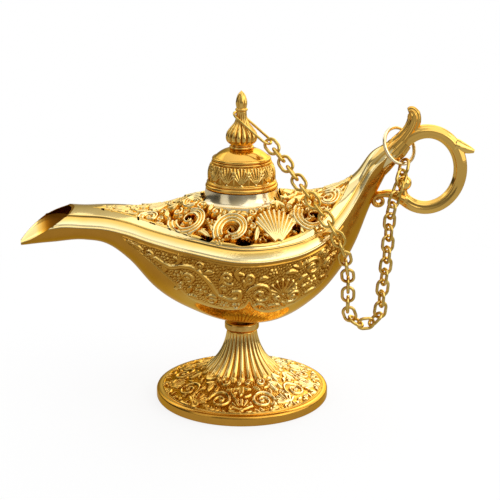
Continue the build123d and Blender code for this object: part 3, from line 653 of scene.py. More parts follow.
def stipple(x, y, pitch, seed):
    """Rows of small uneven bumps, 0 to 1, at arrays of places."""
    x = x/pitch
    y = y/pitch
    nearest = np.full(x.shape, np.inf)
    for dx in (-1, 0, 1):
        for dy in (-1, 0, 1):
            cell_x = np.floor(x) + dx
            cell_y = np.floor(y) + dy
            jitter_x = 0.5 + 0.3*np.sin(cell_x*12.99 + cell_y*78.23 + seed)
            jitter_y = 0.5 + 0.3*np.sin(cell_x*39.35 + cell_y*11.13 + 2*seed)
            nearest = np.minimum(nearest, np.hypot(x - cell_x - jitter_x, y - cell_y - jitter_y))
    return np.clip(1 - (nearest/0.5)**2, 0, 1)


# Bowl and spout


def hull_lines(x):
    """Half width, rim, keel, band width, band rise and crest at places along the hull."""
    half = follow(HALF_WIDTH, x)
    rim = follow(RIM, x)
    band = np.minimum(BAND_WIDTH, BAND_SHARE*half)
    rise = BAND_RISE*band/BAND_WIDTH
    crest = np.maximum(follow(CREST, x), rim + rise + CREST_LEAST)
    return half, rim, follow(KEEL, x), band, rise, crest


def flank(x, t, inset):
    """Near side of the hull: t runs from keel to rim."""
    half, rim, keel, _, _, _ = hull_lines(x)
    w = half - inset
    low = keel + inset
    high = rim - inset*MITER
    y = 3*t*(1 - t)**2*BULGE*w + 3*t*t*(1 - t)*w + t**3*w
    z = low + (high - low)*(3*t*t*(1 - t)*(1 - BULGE) + t**3)
    return grid(x, -y, z)


def bevel(x, t, inset):
    """Near side's bevelled band: t runs from the rim to its top edge."""
    half, rim, _, band, rise, _ = hull_lines(x)
    y = half - inset + (inset - band - inset*MITER)*t
    z = rim - inset*MITER + (rise - inset + inset*MITER)*t
    return grid(x, -y, z)


def vault_arc(x, inset=0.0):
    """Radius of the vault's arc across the hull, height of its centre and half its chord."""
    half, rim, _, band, rise, crest = hull_lines(x)
    chord = half - band - inset*MITER
    sag = crest - rim - rise
    radius = (chord**2 + sag**2)/(2*sag)
    return radius, crest - inset - radius, chord


def vault(x, t, inset):
    """Near side's vault: t runs from the band's top edge to the deck's edge, or to the middle line."""
    radius, centre, chord = vault_arc(x, inset)
    inside = (x > -DECK_FRONT) & (x < DECK_BACK)
    edge = np.where(inside, follow(DECK_EDGE, np.clip(x, -DECK_FRONT, DECK_BACK)), 0)
    y = chord + (np.clip(edge, 0, chord) - chord)*t
    z = centre + np.sqrt(np.maximum(radius**2 - y**2, 0))
    return grid(x, -y, z)


def mouth_line(form, t, inset):
    """Where each line of a form along the hull comes out of the slanting mouth."""
    x = np.linspace(-SPOUT_REACH, -DECK_FRONT, 240)[:, None]
    tip = follow(KEEL, np.array([-SPOUT_REACH]))[0] + LIP_THICKNESS
    back = x + SPOUT_REACH
    mouth = tip + back*math.tan(math.radians(MOUTH_ANGLE))*(1 + MOUTH_SWELL*(1 - back/MOUTH_LENGTH))
    above = form(x, t[None, :], inset)[..., 2] > mouth
    last = above.shape[0] - 1 - np.argmax(above[::-1], axis=0)
    return np.where(above.any(axis=0), x[last, 0], -SPOUT_REACH)


def hull_grid(form, t, rows):
    """Grid of one form of the hull's outer skin, from the mouth to the tail."""
    front = mouth_line(form, t, 0.0)[None, :]
    x = front + (TAIL_END - front)*even(rows)[:, None]
    return form(x, t[None, :], 0.0)


def inner_grid(form, t, rows):
    """Grid of one form of the inner skin; the wall thins out towards the mouth."""
    front = mouth_line(form, t, MOUTH_WALL)[None, :]
    x = front + (TAIL_REACH - BOWL_WALL - front)*even(rows)[:, None]**1.5
    wall = MOUTH_WALL + (BOWL_WALL - MOUTH_WALL)*smooth(WALL_FADE, x - front)
    return form(x, t[None, :], wall)


def mirrored(points):
    """The far side's copy of a near side grid."""
    return points[::-1]*np.array([1, -1, 1])


def add_both(skin, points, tone, keep=None):
    """A near side grid and its far side copy."""
    tone = np.broadcast_to(tone, points.shape[:2])
    skin.add(points, tone, keep=keep)
    skin.add(mirrored(points), tone[::-1], keep=None if keep is None else keep[::-1])


def panel_ornament():
    """Vine, flowers, scrolls, shell and leaves of a side."""
    ornament = Ornament()
    front = PANEL_BORDER[0][0]
    back = PANEL_BORDER[-1][0]
    ornament.stroke([(x, PANEL_TOP) for x in (front, (front + back)/2, back)], width=0.2, height=0.4)
    ornament.stroke(PANEL_BORDER, width=0.22, height=0.4)
    ornament.stroke(PANEL_VINE, width=0.8, ribs=1)
    ornament.spiral(PANEL_VINE[0], 1.3, turns=1.2, start=40, side=-1, width=0.36, height=0.9)
    for *place, size in PANEL_FLOWERS:
        flower(ornament, place, size)
    for *place, radius, start, side in PANEL_SCROLLS:
        ornament.spiral(place, radius, 1.5, start, side, width=0.6, height=0.95, ribs=1)
    for *place, heading, length, bend in PANEL_LEAVES:
        ornament.leaf(place, heading, length, width=0.78, bend=bend, height=0.85)
    *place, radius, spread, ribs = PANEL_SHELL
    ornament.shell(place, radius, -90, spread, ribs, width=0.42, height=0.9)
    return ornament


def below_rim(points):
    """Length down the side from the rim, over a grid whose columns run from keel to rim."""
    steps = np.linalg.norm(np.diff(points, axis=1), axis=-1)
    down = np.zeros(points.shape[:2])
    down[:, :-1] = np.cumsum(steps[:, ::-1], axis=1)[:, ::-1]
    return down


def add_flank(skin):
    """Embossed side of the bowl and plain side of the spout."""
    points = hull_grid(flank, even(180), rows=560)
    x = points[..., 0]
    down = below_rim(points)
    depth = np.interp(x, *np.transpose(PANEL_BORDER), left=0, right=0)
    inside = smooth(PANEL_FADE, depth - down)*smooth(PANEL_FADE, down - PANEL_TOP)
    open_to = inside > FILL_INSIDE
    raised, beyond = filled_relief(panel_ornament(), x, down, open_to, (6, 3), least=1.2, most=1.9)
    bumps = stipple(x, down, STIPPLE_PITCH, seed=1.0)*smooth(STIPPLE_FADE, beyond)*inside
    out = facing(points)
    lift = PANEL_RELIEF*raised + STIPPLE_RELIEF*bumps - PANEL_SINK*inside
    embossed = points + out*lift[..., None]
    # Painted light and shade: the side is paler where it faces up and darker where it faces down.
    up = out[..., 2]
    # Painted highlight: relief slopes that face further up than the side around them are painted paler.
    worn = facing(embossed)[..., 2] - up
    # Painted reflection: the bottom of the bowl near the foot is painted paler.
    keel = smooth(KEEL_FADE_DOWN, down)*smooth(KEEL_FADE_ALONG, np.abs(x))*(1 - KEEL_COVERED*inside)
    tone = tone_of(FLANK_TONE, up=up, stroke=raised, bump=inside*bumps, ground=inside, worn=inside*worn,
                   keel=keel)
    add_both(skin, embossed, tone)


def add_band(skin):
    """Smooth bevelled band with a fine rail along each edge, and the vault's plain margin."""
    t = even(30)
    points = hull_grid(bevel, t, rows=300)
    rails = sum(height*bell(t, place, width) for place, width, height in BAND_RAILS)
    _, _, _, band, _, _ = hull_lines(points[..., 0])
    # Painted reflection across the band, with painted shade in its two grooves.
    tone = np.interp(t, *np.transpose(BAND_TONE)) + np.minimum(rails, 0)
    add_both(skin, points + facing(points)*(rails*band/BAND_WIDTH)[..., None], tone)
    add_both(skin, hull_grid(vault, even(14), rows=300), VAULT_TONE)


def add_inside(skin):
    """Inner skin of the bowl and spout, and the lip that joins it to the outer skin at the mouth."""
    for form, count in ((flank, 40), (bevel, 8), (vault, 14)):
        inner = inner_grid(form, even(count), rows=160)
        # Painted shade inside, fading out near the mouth.
        tone = tone_of(BORE_TONE, mouth=smooth(BORE_FADE, inner[..., 0] + SPOUT_REACH))
        add_both(skin, inner[::-1], tone[::-1])
        # The lip is painted shade.
        add_both(skin, np.stack([hull_grid(form, even(count), rows=2)[0], inner[0]]), EDGE_TONE)


def add_edges(skin):
    """Sill down from the deck's edge, and the flat end of the tail."""
    x = np.linspace(-DECK_FRONT + 0.05, DECK_BACK - 0.05, 200)[:, None]
    sill = vault(x, 1, 0.0) - np.array([0, 0, BOWL_WALL])*even(4)[None, :, None]
    # The sill is painted shade.
    add_both(skin, sill, EDGE_TONE)
    for form in (flank, bevel, vault):
        t = even(20)[None, :]
        rim = form(TAIL_END, t, 0.0)
        add_both(skin, np.concatenate([rim, rim*np.array([1, 0, 1])]), TAIL_TONE)


def make_bowl(material):
    """Hull with embossed sides, plain bevelled band and open slanting mouth."""
    skin = Skin()
    add_flank(skin)
    add_band(skin)
    add_inside(skin)
    add_edges(skin)
    for points in skin.points:
        points[:, 0] -= MOUTH_SKEW*points[:, 1]*smooth(SKEW_FADE, points[:, 0])
    skin.piece("bowl_cast", material, "lamp", "bowl", "spout")


# Deck


def volute(ornament, centre, radius, ribs, start, sweep, width):
    """Ribbed scroll: ribs side by side that wind inwards together, with small leaves outside."""
    side = math.copysign(1, sweep)
    t = even(24)
    for k in range(ribs):
        reach = (radius - 1.9*width*k)*(1 - 0.4*t**1.3)
        ornament.stroke(around(centre, reach, np.radians(start + sweep*t)), width, 1 - 0.1*k, taper=0.4)
    ornament.spiral(centre, 0.4*radius, 1.1, start + 0.7*sweep, side, 0.8*width, 0.85)
    for k in range(4):
        turn = math.radians(start + sweep*(0.08 + 0.13*k))
        foot = around(centre, radius, turn)
        ornament.leaf(foot, math.degrees(turn) + 60*side, 1.9, width=0.6, bend=0.6*side, height=0.8)


def deck_ornament():
    """Edge, scrolls, shells, leaves and flowers of one side of the openwork."""
    ornament = Ornament()
    x = np.linspace(-DECK_FRONT + 0.4, DECK_BACK - 0.3, 60)
    radius, _, _ = vault_arc(x)
    edge = radius*np.arcsin(np.clip(follow(DECK_EDGE, x)/radius, -1, 1))
    ornament.stroke(np.stack([x, 0.4 - edge], axis=1), width=0.75, height=0.55)
    for *place, radius, ribs, start, sweep in DECK_SCROLLS:
        volute(ornament, place, radius, ribs, start, sweep, width=0.55)
    for *place, radius, heading, spread, ribs in DECK_SHELLS:
        ornament.shell(place, radius, heading, spread, ribs, width=0.6, height=0.95)
    for *place, heading, length, bend in DECK_LEAVES:
        ornament.leaf(place, heading, length, width=0.9, bend=bend, height=0.85)
    for *place, size in DECK_FLOWERS:
        flower(ornament, place, size)
    return ornament


def deck_wells(place, arc, margin, beyond):
    """Depth of the openwork, 0 to 1: between the strokes, in the round holes and in the wide gaps."""
    well = smooth(WELL_FADE, beyond)*smooth(MARGIN_FADE, margin)
    for x, y, size in DECK_HOLES:
        hole = smooth((1.2*size, 0.7*size), np.hypot(place - x, (arc - y)*1.25))
        well = np.maximum(well, hole*smooth(HOLE_FADE, beyond))
    for x, y, size in DECK_GAPS:
        well = np.maximum(well, smooth((1.1*size, 0.7*size), np.hypot(place - x, (arc - y)*2.2)))
    return well


def make_deck(material):
    """Pierced vault of scrolls and shells in the bowl's opening."""
    x = np.linspace(-DECK_FRONT + 0.15, DECK_BACK - 0.15, 480)[:, None]
    radius, centre, _ = vault_arc(x)
    turn = np.arcsin(np.clip(np.maximum(follow(DECK_EDGE, x), 0.05)/radius, 0, 1))
    angle = -turn*np.linspace(1, 0, 170)[None, :]
    place = np.broadcast_to(x, angle.shape)
    arc = radius*angle
    y = radius*np.sin(angle)
    from_axis = np.hypot(place, y)
    open_to = from_axis > NECK_RADIUS + 0.3
    raised, beyond = filled_relief(deck_ornament(), place, arc, open_to, (5, 4), least=0.55, most=1.7)
    well = deck_wells(place, arc, radius*(angle + turn), beyond)
    lift = DECK_RELIEF*raised - DECK_SINK - WELL_DEPTH*well
    points = grid(place, y + np.sin(angle)*lift, centre + (radius + lift)*np.cos(angle))
    keep = (from_axis > NECK_RADIUS - 0.3) & (well < WELL_OPEN)
    skin = Skin()
    # Painted highlight on the strokes and painted shade in the wells.
    add_both(skin, points, tone_of(DECK_TONE, stroke=raised, well=well), keep)
    skin.piece("deck_openwork", material, "lamp", "deck")


# Foot


def foot_ornament():
    """Wreath of scrolls, shells and leaves round the base, in plan."""
    ornament = Ornament()
    axis = (0, 0)
    for k in range(WREATH_COUNT):
        turn = 2*math.pi*(k + 0.25)/WREATH_COUNT
        side = 1 if k % 2 else -1
        centre = around(axis, WREATH_SCROLLS, turn)
        outward = math.degrees(turn)
        ornament.spiral(centre, 3.3, 1.7, outward + 90*side, side, width=0.42, height=0.9)
        for leaf in range(7):
            heading = outward + 20 + 51*leaf
            foot = around(centre, 3.5, math.radians(heading))
            ornament.leaf(foot, heading + 35*side, 2.0, width=0.5, bend=0.7*side, height=0.8)
        turn += math.pi/WREATH_COUNT
        outward = math.degrees(turn)
        foot = around(axis, WREATH_SHELLS, turn)
        ornament.shell(foot, 4.2, outward + 180, spread=110, ribs=7, width=0.46, height=0.85)
        foot = around(axis, WREATH_LEAVES, turn)
        ornament.leaf(foot, outward, 3.2, width=0.7, bend=0.2*side, height=0.9)
        ornament.leaf(foot, outward + 55, 2.6, width=0.55, bend=0.5, height=0.8)
        ornament.leaf(foot, outward - 55, 2.6, width=0.55, bend=-0.5, height=0.8)
    return ornament


def foot_profile():
    """Outer line of the foot from its underside to the stem's top: radius, height."""
    rim = [(HOLLOW_RADIUS, 0), (BASE_RADIUS - 0.3, 0), (BASE_RADIUS, 0.35),
           (BASE_RADIUS, BASE_RIM_HEIGHT - 0.45), (BASE_RADIUS - 0.25, BASE_RIM_HEIGHT),
           (BASE_RADIUS - 0.9, BASE_RIM_HEIGHT + 0.25), (BASE_LIP, BASE_RIM_HEIGHT + 0.2)]
    flare = [(BASE_LIP, BASE_RIM_HEIGHT + 0.6), (12.0, 4.6), (5.4, 9.6), (STEM_RADIUS, FOOT_HEIGHT - 0.9)]
    top = [(STEM_RADIUS, FOOT_HEIGHT - 0.2), (STEM_RADIUS - 0.3, FOOT_HEIGHT), (FOOT_BORE, FOOT_HEIGHT)]
    return respace(np.concatenate([rim, bezier(flare, 200), top]), 0.2)


def make_foot(material):
    """Fluted flaring stem on a round base with an embossed wreath, hollow underneath."""
    points, angle, radius, height = turned(foot_profile(), count=640)
    x, y, _ = np.moveaxis(points, -1, 0)
    outer = height > BASE_RIM_HEIGHT + 0.15
    wreath = between(WREATH_FADES, radius)*outer
    flute = lobes(FOOT_FLUTES, angle, 0.7)
    fluted = smooth(FLUTE_FADE_IN, radius)*smooth(FLUTE_FADE_OUT, height)
    open_to = wreath > FILL_INSIDE
    raised, beyond = filled_relief(foot_ornament(), x, y, open_to, (8, 3), least=0.8, most=1.6)
    bumps = stipple(x, y, WREATH_PITCH, seed=2.0)*smooth(STIPPLE_FADE, beyond)
    lift = wreath*(WREATH_RELIEF*raised + WREATH_STIPPLE*bumps - WREATH_SINK)
    lift += fluted*(FLUTE_DEPTH + FLUTE_GROWTH*radius)*(flute - FLUTE_LEVEL)
    points = points + facing(points, ring=True)*lift[..., None]
    # Painted light: the wreath is paler on the handle's side.
    side = smooth(WREATH_FADE_ALONG, points[..., 0])
    # Painted highlight on strokes, stipple and flute ridges; painted shade on the wreath's ground and in the
    # flutes.
    tone = tone_of(FOOT_TONE, stroke=wreath*raised, bump=wreath*bumps, ground=wreath, side=wreath*side,
                   flute=fluted*flute, fluted=fluted)
    skin = Skin()
    skin.add(points, np.where(outer, tone, RIM_TONE), ring=True)
    hollow = bezier([(3.7, HOLLOW_TOP), (4.3, 7.4), (10.9, 2.4), (HOLLOW_RADIUS, 1.1)], 40)
    hollow = np.concatenate([[(FOOT_BORE, HOLLOW_TOP)], hollow, [(HOLLOW_RADIUS, 0)]])
    # Painted shade in the hollow under the foot.
    skin.add(turned(hollow, count=160)[0], HOLLOW_TONE, ring=True)
    skin.piece("foot_cast", material, "lamp", "foot")


# Lid and finial


def bead_arc(radius, height, size):
    """Half round bead on a turned profile, from its lower to its upper end."""
    return around((radius, height), size, np.linspace(-np.pi/2, np.pi/2, 12))


def lid_ornament():
    """Palmette fans round the lid, laid out as arc length and height."""
    ornament = Ornament()
    span = 2*np.pi*LID_RADIUS/LID_FANS
    arch = np.linspace(-1.5, 1.5, 12)
    for k in range(-1, LID_FANS + 1):
        middle = span*(k + 0.5)
        ornament.shell((middle, LID_SEAT + 2.2), 4.4, heading=90, spread=84, ribs=7, width=0.3, height=1.0)
        arch_points = np.stack([middle + 0.5*span*np.sin(arch), LID_SEAT + 2.1 + 4.8*np.cos(arch)], axis=1)
        ornament.stroke(arch_points, width=0.17, height=0.75)
        ornament.leaf((middle + span/2, LID_SEAT + 6.9), -90, 2.0, width=0.3, bend=0.0, height=0.8)
    return ornament


def lid_profile():
    """Outer line of the lid from inside its plug to its top: radius, height."""
    plug = [(PLUG_BORE, LID_BELLY), (PLUG_BORE, LID_SEAT - PLUG_DEPTH), (PLUG_RADIUS, LID_SEAT - PLUG_DEPTH),
            (PLUG_RADIUS, LID_SEAT)]
    wall_foot = LID_SEAT + 2*LID_BEAD
    wall = bezier([(LID_RADIUS, wall_foot), (LID_RADIUS, LID_BELLY), (LID_RADIUS, LID_BELLY + LID_WALL),
                   (LID_SHOULDER_RADIUS, LID_SHOULDER)], 80)
    wall = wall[(wall[:, 1] > wall_foot + 2*LID_FINE_BEAD) & (wall[:, 1] < LID_SHOULDER - 0.8)]
    dome = bezier([(LID_SHOULDER_RADIUS - 0.4, LID_SHOULDER + 0.75), (5.1, LID_TOP),
                   (PEDESTAL_RADIUS, LID_TOP)], 30)
    line = [plug, bead_arc(LID_RADIUS, LID_SEAT + LID_BEAD, LID_BEAD),
            bead_arc(LID_RADIUS, wall_foot + LID_FINE_BEAD, LID_FINE_BEAD), wall,
            bead_arc(LID_SHOULDER_RADIUS + 0.1, LID_SHOULDER - 0.45, 0.3),
            bead_arc(LID_SHOULDER_RADIUS - 0.25, LID_SHOULDER + 0.3, 0.48), dome, [(STUD_RADIUS, LID_TOP)]]
    return respace(np.concatenate(line), 0.13)


def make_lid(material):
    """Domed lid with beaded edges and a band of palmettes, and the plug that drops into the neck."""
    points, angle, radius, height = turned(lid_profile(), count=440)
    zone = between(LID_FADES, height)*(radius > LID_SHOULDER_RADIUS - 0.2)
    raised, _ = lid_ornament().relief(np.broadcast_to(angle*LID_RADIUS, radius.shape), height)
    lift = zone*(LID_RELIEF*raised - LID_SINK)
    embossed = points + grid(lift*np.cos(angle), lift*np.sin(angle), 0)
    # Painted highlight: relief slopes on the lid that face further up than its wall are painted paler.
    worn = facing(embossed, ring=True)[..., 2] - facing(points, ring=True)[..., 2]
    plug = (radius < LID_SHOULDER_RADIUS) & (height < LID_SEAT + 1)
    skin = Skin()
    # Painted highlight on the palmettes and their up-facing slopes; painted shade between them and on the
    # plug.
    tone = tone_of(LID_TONE, stroke=zone*raised, ground=zone, worn=zone*worn, plug=plug)
    skin.add(embossed, tone, ring=True)
    # Inside of the lid, painted shade.
    inside = np.array([(PLUG_BORE, LID_BELLY), (PLUG_BORE - 0.3, LID_BELLY + LID_WALL),
                       (LID_SHOULDER_RADIUS - LID_WALL, LID_SHOULDER - LID_WALL),
                       (4.6, LID_TOP - LID_WALL - 0.3), (STUD_RADIUS, LID_TOP - LID_WALL)])
    skin.add(turned(inside, count=120)[0], HOLLOW_TONE, ring=True)
    skin.piece("lid_dome", material, "lid", "lid")


def finial_profile():
    """Outer line of the finial from its stud to its tip: radius, height above the lid."""
    stud = [(0.02, -STUD_LENGTH), (STUD_RADIUS, -STUD_LENGTH), (STUD_RADIUS, 0)]
    pedestal = [bead_arc(*bead) for bead in PEDESTAL_BEADS]
    line = [stud, *pedestal, curve(BULB_LINE, 0.1), bead_arc(*NECK_BEAD), curve(BUD_LINE, 0.1)]
    return respace(np.concatenate(line), 0.12)


def make_finial(material):
    """Stepped pedestal, fluted bulb, beaded neck and pointed bud."""
    points, angle, _, height = turned(finial_profile(), count=320)
    lobe = lobes(BULB_LOBES, angle, 0.6)
    fluted = between(BULB_FADES, height)
    bract = lobes(BUD_LEAVES, angle, 0.6)
    leafy = between(BUD_FADES, height)
    swelling = LOBE_DEPTH*fluted*(lobe - LOBE_LEVEL) + BRACT_DEPTH*leafy*(bract - LOBE_LEVEL)
    points[..., :2] *= (1 + swelling)[..., None]
    points[..., 2] += LID_TOP
    skin = Skin()
    # Painted highlight on the ridges, painted shade in the creases.
    tone = tone_of(FINIAL_TONE, lobe=fluted*lobe, fluted=fluted, bract=leafy*bract, leafy=leafy)
    skin.add(points, tone, ring=True)
    skin.piece("finial_cast", material, "lid", "finial")


# Handle


def upright(points):
    """Points given as x and z, set in the XZ plane."""
    return grid(points[:, 0], 0, points[:, 1])


def on_loop(degrees):
    """Points of the handle's loop, as x and z."""
    angle = np.radians(degrees)
    return np.array(LOOP_CENTRE) + np.stack([np.cos(angle), np.sin(angle)], axis=-1)*LOOP_HALF


def ball_grid(x, z, radius):
    """Grid over a sphere in the middle plane."""
    up = np.linspace(-np.pi/2 + 0.01, np.pi/2 - 0.01, 24)
    return turned(around((0, 0), radius, up), count=48)[0] + np.array((x, 0, z))


def stem_grid():
    """Grid round the stem between its upper and lower lines, from the bowl's tail to the loop."""
    upper = curve(STEM_UPPER, 0.2)
    share = even(len(upper))
    places = even(len(STEM_LOWER))
    lower = through(places, STEM_LOWER, share)
    width = follow(list(zip(places, STEM_WIDTH)), share)
    angle = turn_angles(STEM_COUNT)
    groove = 1 - STEM_GROOVE*bell(np.abs(np.sin(angle)), 0.8, 0.06)
    reach = (upper - lower)/2
    middle = (upper + lower)/2
    x = middle[:, 0] + reach[:, 0]*np.cos(angle)*groove
    z = middle[:, 1] + reach[:, 1]*np.cos(angle)*groove
    return grid(x, width*np.sin(angle)*groove, z)


def tapered(skin, points, radii, tone, count=28, **shape):
    """Tube through (x, z) points whose radius runs through the given radii."""
    path = upright(curve(points, 0.2))
    radius = np.interp(even(len(path)), even(len(radii)), radii)
    skin.add(tube(path, radius, count, **shape), HANDLE_TONE[tone], ring=True)


def add_stem(skin):
    """Grooved stem, with a tone for each of its faces: painted shade in its grooves and on its underside."""
    face = np.abs(np.linspace(0, 360, STEM_COUNT, endpoint=False) - 180)
    skin.add(stem_grid(), np.interp(face, *np.transpose(STEM_TONE))[:, None], ring=True)


def add_loop(skin):
    """Fluted loop, clockwise as seen from the near side."""
    count = 150
    radius = LOOP_WIRE*np.interp(even(count), *np.transpose(LOOP_TAPER))
    path = upright(on_loop(np.linspace(LOOP_START, LOOP_END, count)))
    skin.add(tube(path, radius, 48, flutes=7, depth=0.09), HANDLE_TONE["loop"], ring=True)


def add_thorn(skin):
    """Blunt thorn on the loop's outer side."""
    x, z = on_loop(THORN_PLACE)
    line = [(x - 0.8, z + 1.8), (x + 1.6, z + 1.0), (HANDLE_REACH - 0.4, z + 0.5),
            (HANDLE_REACH + 0.9, z + 0.1)]
    tapered(skin, line, THORN_RADII, "thorn")


def add_end(skin):
    """Ball on a neck at the loop's lower end, and the bracket that runs from there into a scroll."""
    x, z = on_loop(LOOP_END)
    ball_z = z + BALL_RISE
    tapered(skin, [(x, z), (x - 0.3, z + 2.0), (x, ball_z)], BALL_NECK_RADII, "ball_neck")
    skin.add(ball_grid(x, ball_z, BALL_RADIUS), HANDLE_TONE["ball"], ring=True)
    skin.add(ball_grid(x, z, LOOP_WIRE), HANDLE_TONE["end"], ring=True)
    k = np.arange(15)
    scroll = around(SCROLL_CENTRE, SCROLL_REACH*(1 - 0.05*k), np.radians(75 + 32*k))
    tapered(skin, [(x, z), *BRACKET_LINE, *scroll], BRACKET_RADII, "bracket", count=24, flat=1.5)


def make_handle(material):
    """Stem with a curled leaf, round loop, thorn, ball end and scroll bracket."""
    skin = Skin()
    add_stem(skin)
    add_loop(skin)
    tapered(skin, LEAF_LINE, LEAF_RADII, "leaf", count=54, flutes=9, depth=0.2)
    tapered(skin, LEAF_BASE, LEAF_BASE_RADII, "leaf_base", count=54, flutes=11, depth=0.14)
    add_thorn(skin)
    add_end(skin)
    skin.piece("handle_cast", material, "lamp", "handle")


# Jump ring


def make_ring(material):
    """Round wire ring about its own hinge axis."""
    joint = next(j for j in frame["record"]["behaviour"]["joints"] if j["name"] == "ring_turn")
    axis = np.array(joint["axis"])
    across = np.cross(axis, (0, 0, 1))
    across /= np.linalg.norm(across)
    up = np.cross(across, axis)
    turn = turn_angles(120)
    section = np.linspace(0, 2*np.pi, 17)[None, :]
    reach = RING_RADIUS + RING_WIRE*np.cos(section)
    points = np.array(joint["pos_m"])/MM + (reach*np.cos(turn))[..., None]*across
    points = points + (reach*np.sin(turn))[..., None]*up + (RING_WIRE*np.sin(section))[..., None]*axis
    skin = Skin()
    skin.add(points, RING_TONE, ring=True)
    skin.piece("ring_wire", material, "chain_ring", "chain_ring", slot="chain")


# Materials


class Graph:
    """Nodes of a tree; a value for an input is an output socket to link or a constant."""

    def __init__(self, tree):
        self.nodes = tree.nodes
        self.links = tree.links

    def feed(self, node, values):
        """Values for a node's inputs, by label or number."""
        for label, value in values.items():
            if isinstance(value, bpy.types.NodeSocket):
                self.links.new(value, node.inputs[label])
            else:
                node.inputs[label].default_value = value
        return node

    def add(self, kind, values):
        """A new node with values for its inputs."""
        return self.feed(self.nodes.new(kind), values)

    def output(self, kind, label):
        """One output of a new node without inputs."""
        return self.nodes.new(kind).outputs[label]

    def math(self, operation, *values):
        """Result of a math node."""
        node = self.add("ShaderNodeMath", dict(enumerate(values)))
        node.operation = operation
        return node.outputs[0]

    def span(self, value, before, after):
        """A value carried over from one range to another."""
        limits = {"From Min": before[0], "From Max": before[1], "To Min": after[0], "To Max": after[1]}
        return self.add("ShaderNodeMapRange", {"Value": value, **limits}).outputs["Result"]

    def ramp(self, value, stops):
        """Colour by value, through (place, colour) stops."""
        node = self.add("ShaderNodeValToRGB", {"Fac": value})
        elements = node.color_ramp.elements
        while len(elements) < len(stops):
            elements.new(0.5)
        for element, (place, colour) in zip(elements, stops):
            element.position = place
            element.color = (*colour, 1)
        return node.outputs["Color"]

    def noise(self, scale, detail=3.0):
        """Noise over the piece's own coordinates."""
        place = self.output("ShaderNodeTexCoord", "Object")
        node = self.add("ShaderNodeTexNoise", {"Vector": place, "Scale": scale, "Detail": detail})
        return node.outputs["Fac"]


def new_material(name):
    """A node material with its graph and its shader."""
    material = bpy.data.materials.new(name)
    material.use_nodes = True
    graph = Graph(material.node_tree)
    return material, graph, graph.nodes["Principled BSDF"]


def gold(name, rough_pale, rough_dark, bump):
    """Gold plate coloured by tone: amber where the tone paints shade in the hollows, pale where it paints
    highlight on the high points; faintly uneven.
    """
    material, graph, shader = new_material(name)
    attribute = graph.add("ShaderNodeAttribute", {})
    attribute.attribute_name = "tone"
    tone = attribute.outputs["Fac"]
    mottled = graph.math("MULTIPLY_ADD", graph.noise(MOTTLE_SCALE), MOTTLE, tone)
    grain = {"Strength": bump, "Distance": GRAIN_HEIGHT, "Height": graph.noise(GRAIN_SCALE, detail=2.0)}
    graph.feed(shader, {"Base Color": graph.ramp(mottled, GOLD_STOPS),
                        "Roughness": graph.span(tone, ROUGH_TONES, (rough_dark, rough_pale)),
                        "Metallic": 1.0,
                        "Specular Tint": EDGE_TINT,
                        "Normal": graph.add("ShaderNodeBump", grain).outputs["Normal"]})
    return material


def plain_metal(name, dark, pale, rough, scale, edge):
    """Turned or drawn metal with a slight mottle of colour and roughness."""
    material, graph, shader = new_material(name)
    mottle = graph.noise(scale)
    graph.feed(shader, {"Base Color": graph.ramp(mottle, [(0.3, dark), (0.7, pale)]),
                        "Roughness": graph.span(mottle, (0.0, 1.0), (rough, rough + 0.1)),
                        "Metallic": 1.0,
                        "Specular Tint": edge})
    return material


def dress_cad_nodes():
    """Materials for the CAD nodes that stay as they are, returned by name."""
    metals = {name: plain_metal(name, *look) for name, look in METALS.items()}
    for name, node in frame["nodes"].items():
        node.data.materials.clear()
        node.data.materials.append(metals[NODE_METALS.get(name, "chain_gold")])
    return metals


# Stage


def floor_material():
    """Pale floor that fades outwards into a glow, white to the camera."""
    material, graph, shader = new_material("floor_white")
    graph.feed(shader, {"Base Color": FLOOR_COLOUR, "Roughness": FLOOR_ROUGHNESS})
    seen = graph.output("ShaderNodeLightPath", "Is Camera Ray")
    glow = graph.add("ShaderNodeEmission", {"Strength": graph.span(seen, (0.0, 1.0), (FLOOR_GLOW, 1.0))})
    length = graph.add("ShaderNodeVectorMath", {0: graph.output("ShaderNodeTexCoord", "Object")})
    length.operation = "LENGTH"
    fade = graph.span(length.outputs["Value"], FLOOR_FADE, GLOW_SHARE)
    layers = {1: shader.outputs["BSDF"], 2: glow.outputs["Emission"]}
    mix = graph.add("ShaderNodeMixShader", {"Fac": fade, **layers})
    graph.feed(graph.nodes["Material Output"], {"Surface": mix.outputs["Shader"]})
    return material


def make_floor():
    """Wide flat floor under the object."""
    mesh = bpy.data.meshes.new("floor")
    corners = [(-1, -1), (1, -1), (1, 1), (-1, 1)]
    mesh.from_pydata([(x*FLOOR_REACH, y*FLOOR_REACH, 0) for x, y in corners], [], [(0, 1, 2, 3)])
    mesh.materials.append(floor_material())
    floor = add_object("floor", mesh)


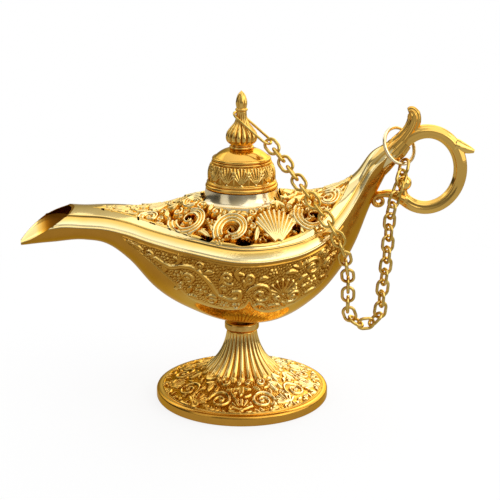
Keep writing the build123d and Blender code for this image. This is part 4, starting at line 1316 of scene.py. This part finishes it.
def make_world():
    """White behind the object; light from all round, brighter overhead, behind and on the handle's side."""
    world = bpy.data.worlds.new("studio")
    bpy.context.scene.world = world
    world.use_nodes = True
    graph = Graph(world.node_tree)
    place = graph.output("ShaderNodeTexCoord", "Generated")
    heading = graph.add("ShaderNodeSeparateXYZ", {"Vector": place}).outputs
    glows = (OVERHEAD, ASIDE, BEHIND, HANDLE_SIDE)
    overhead, aside, behind, handle_side = (graph.span(heading[axis], *ranges) for axis, *ranges in glows)
    glow = graph.math("MULTIPLY_ADD", behind, handle_side, graph.math("MULTIPLY", overhead, aside))
    seen = graph.output("ShaderNodeLightPath", "Is Camera Ray")
    graph.feed(graph.nodes["Background"], {"Color": WHITE, "Strength": graph.math("MAXIMUM", seen, glow)})


def area_light(name, place, target, size, power):
    """Soft rectangular lamp aimed at a point, in millimetres."""
    data = bpy.data.lights.new(name, "AREA")
    data.shape = "RECTANGLE"
    data.size = size[0]*MM
    data.size_y = size[1]*MM
    data.energy = power
    lamp = add_object(name, data)
    lamp.location = Vector(place)*MM
    lamp.rotation_euler = (Vector(target) - Vector(place)).to_track_quat("-Z", "Y").to_euler()


def make_camera():
    """Camera at the photograph's place and angle."""
    data = bpy.data.cameras.new("camera")
    data.lens = CAMERA_LENS
    data.sensor_width = CAMERA_SENSOR
    camera = add_object("camera", data)
    camera.location = Vector(CAMERA_PLACE)*MM
    camera.rotation_euler = (math.radians(90 - CAMERA_PITCH), 0, 0)
    bpy.context.scene.camera = camera


def main():
    """The whole picture: pieces, materials, stage, lamps and camera."""
    relief_gold = gold("relief_gold", rough_pale=0.1, rough_dark=0.42, bump=0.06)
    polished_gold = gold("polished_gold", rough_pale=0.1, rough_dark=0.3, bump=0.05)
    metals = dress_cad_nodes()
    make_bowl(relief_gold)
    make_deck(relief_gold)
    make_foot(relief_gold)
    make_lid(relief_gold)
    make_finial(polished_gold)
    make_handle(polished_gold)
    make_ring(metals["ring_gold"])
    make_floor()
    make_world()
    for light in LIGHTS:
        area_light(*light)
    make_camera()
    bpy.context.scene.view_settings.view_transform = "Standard"


main()
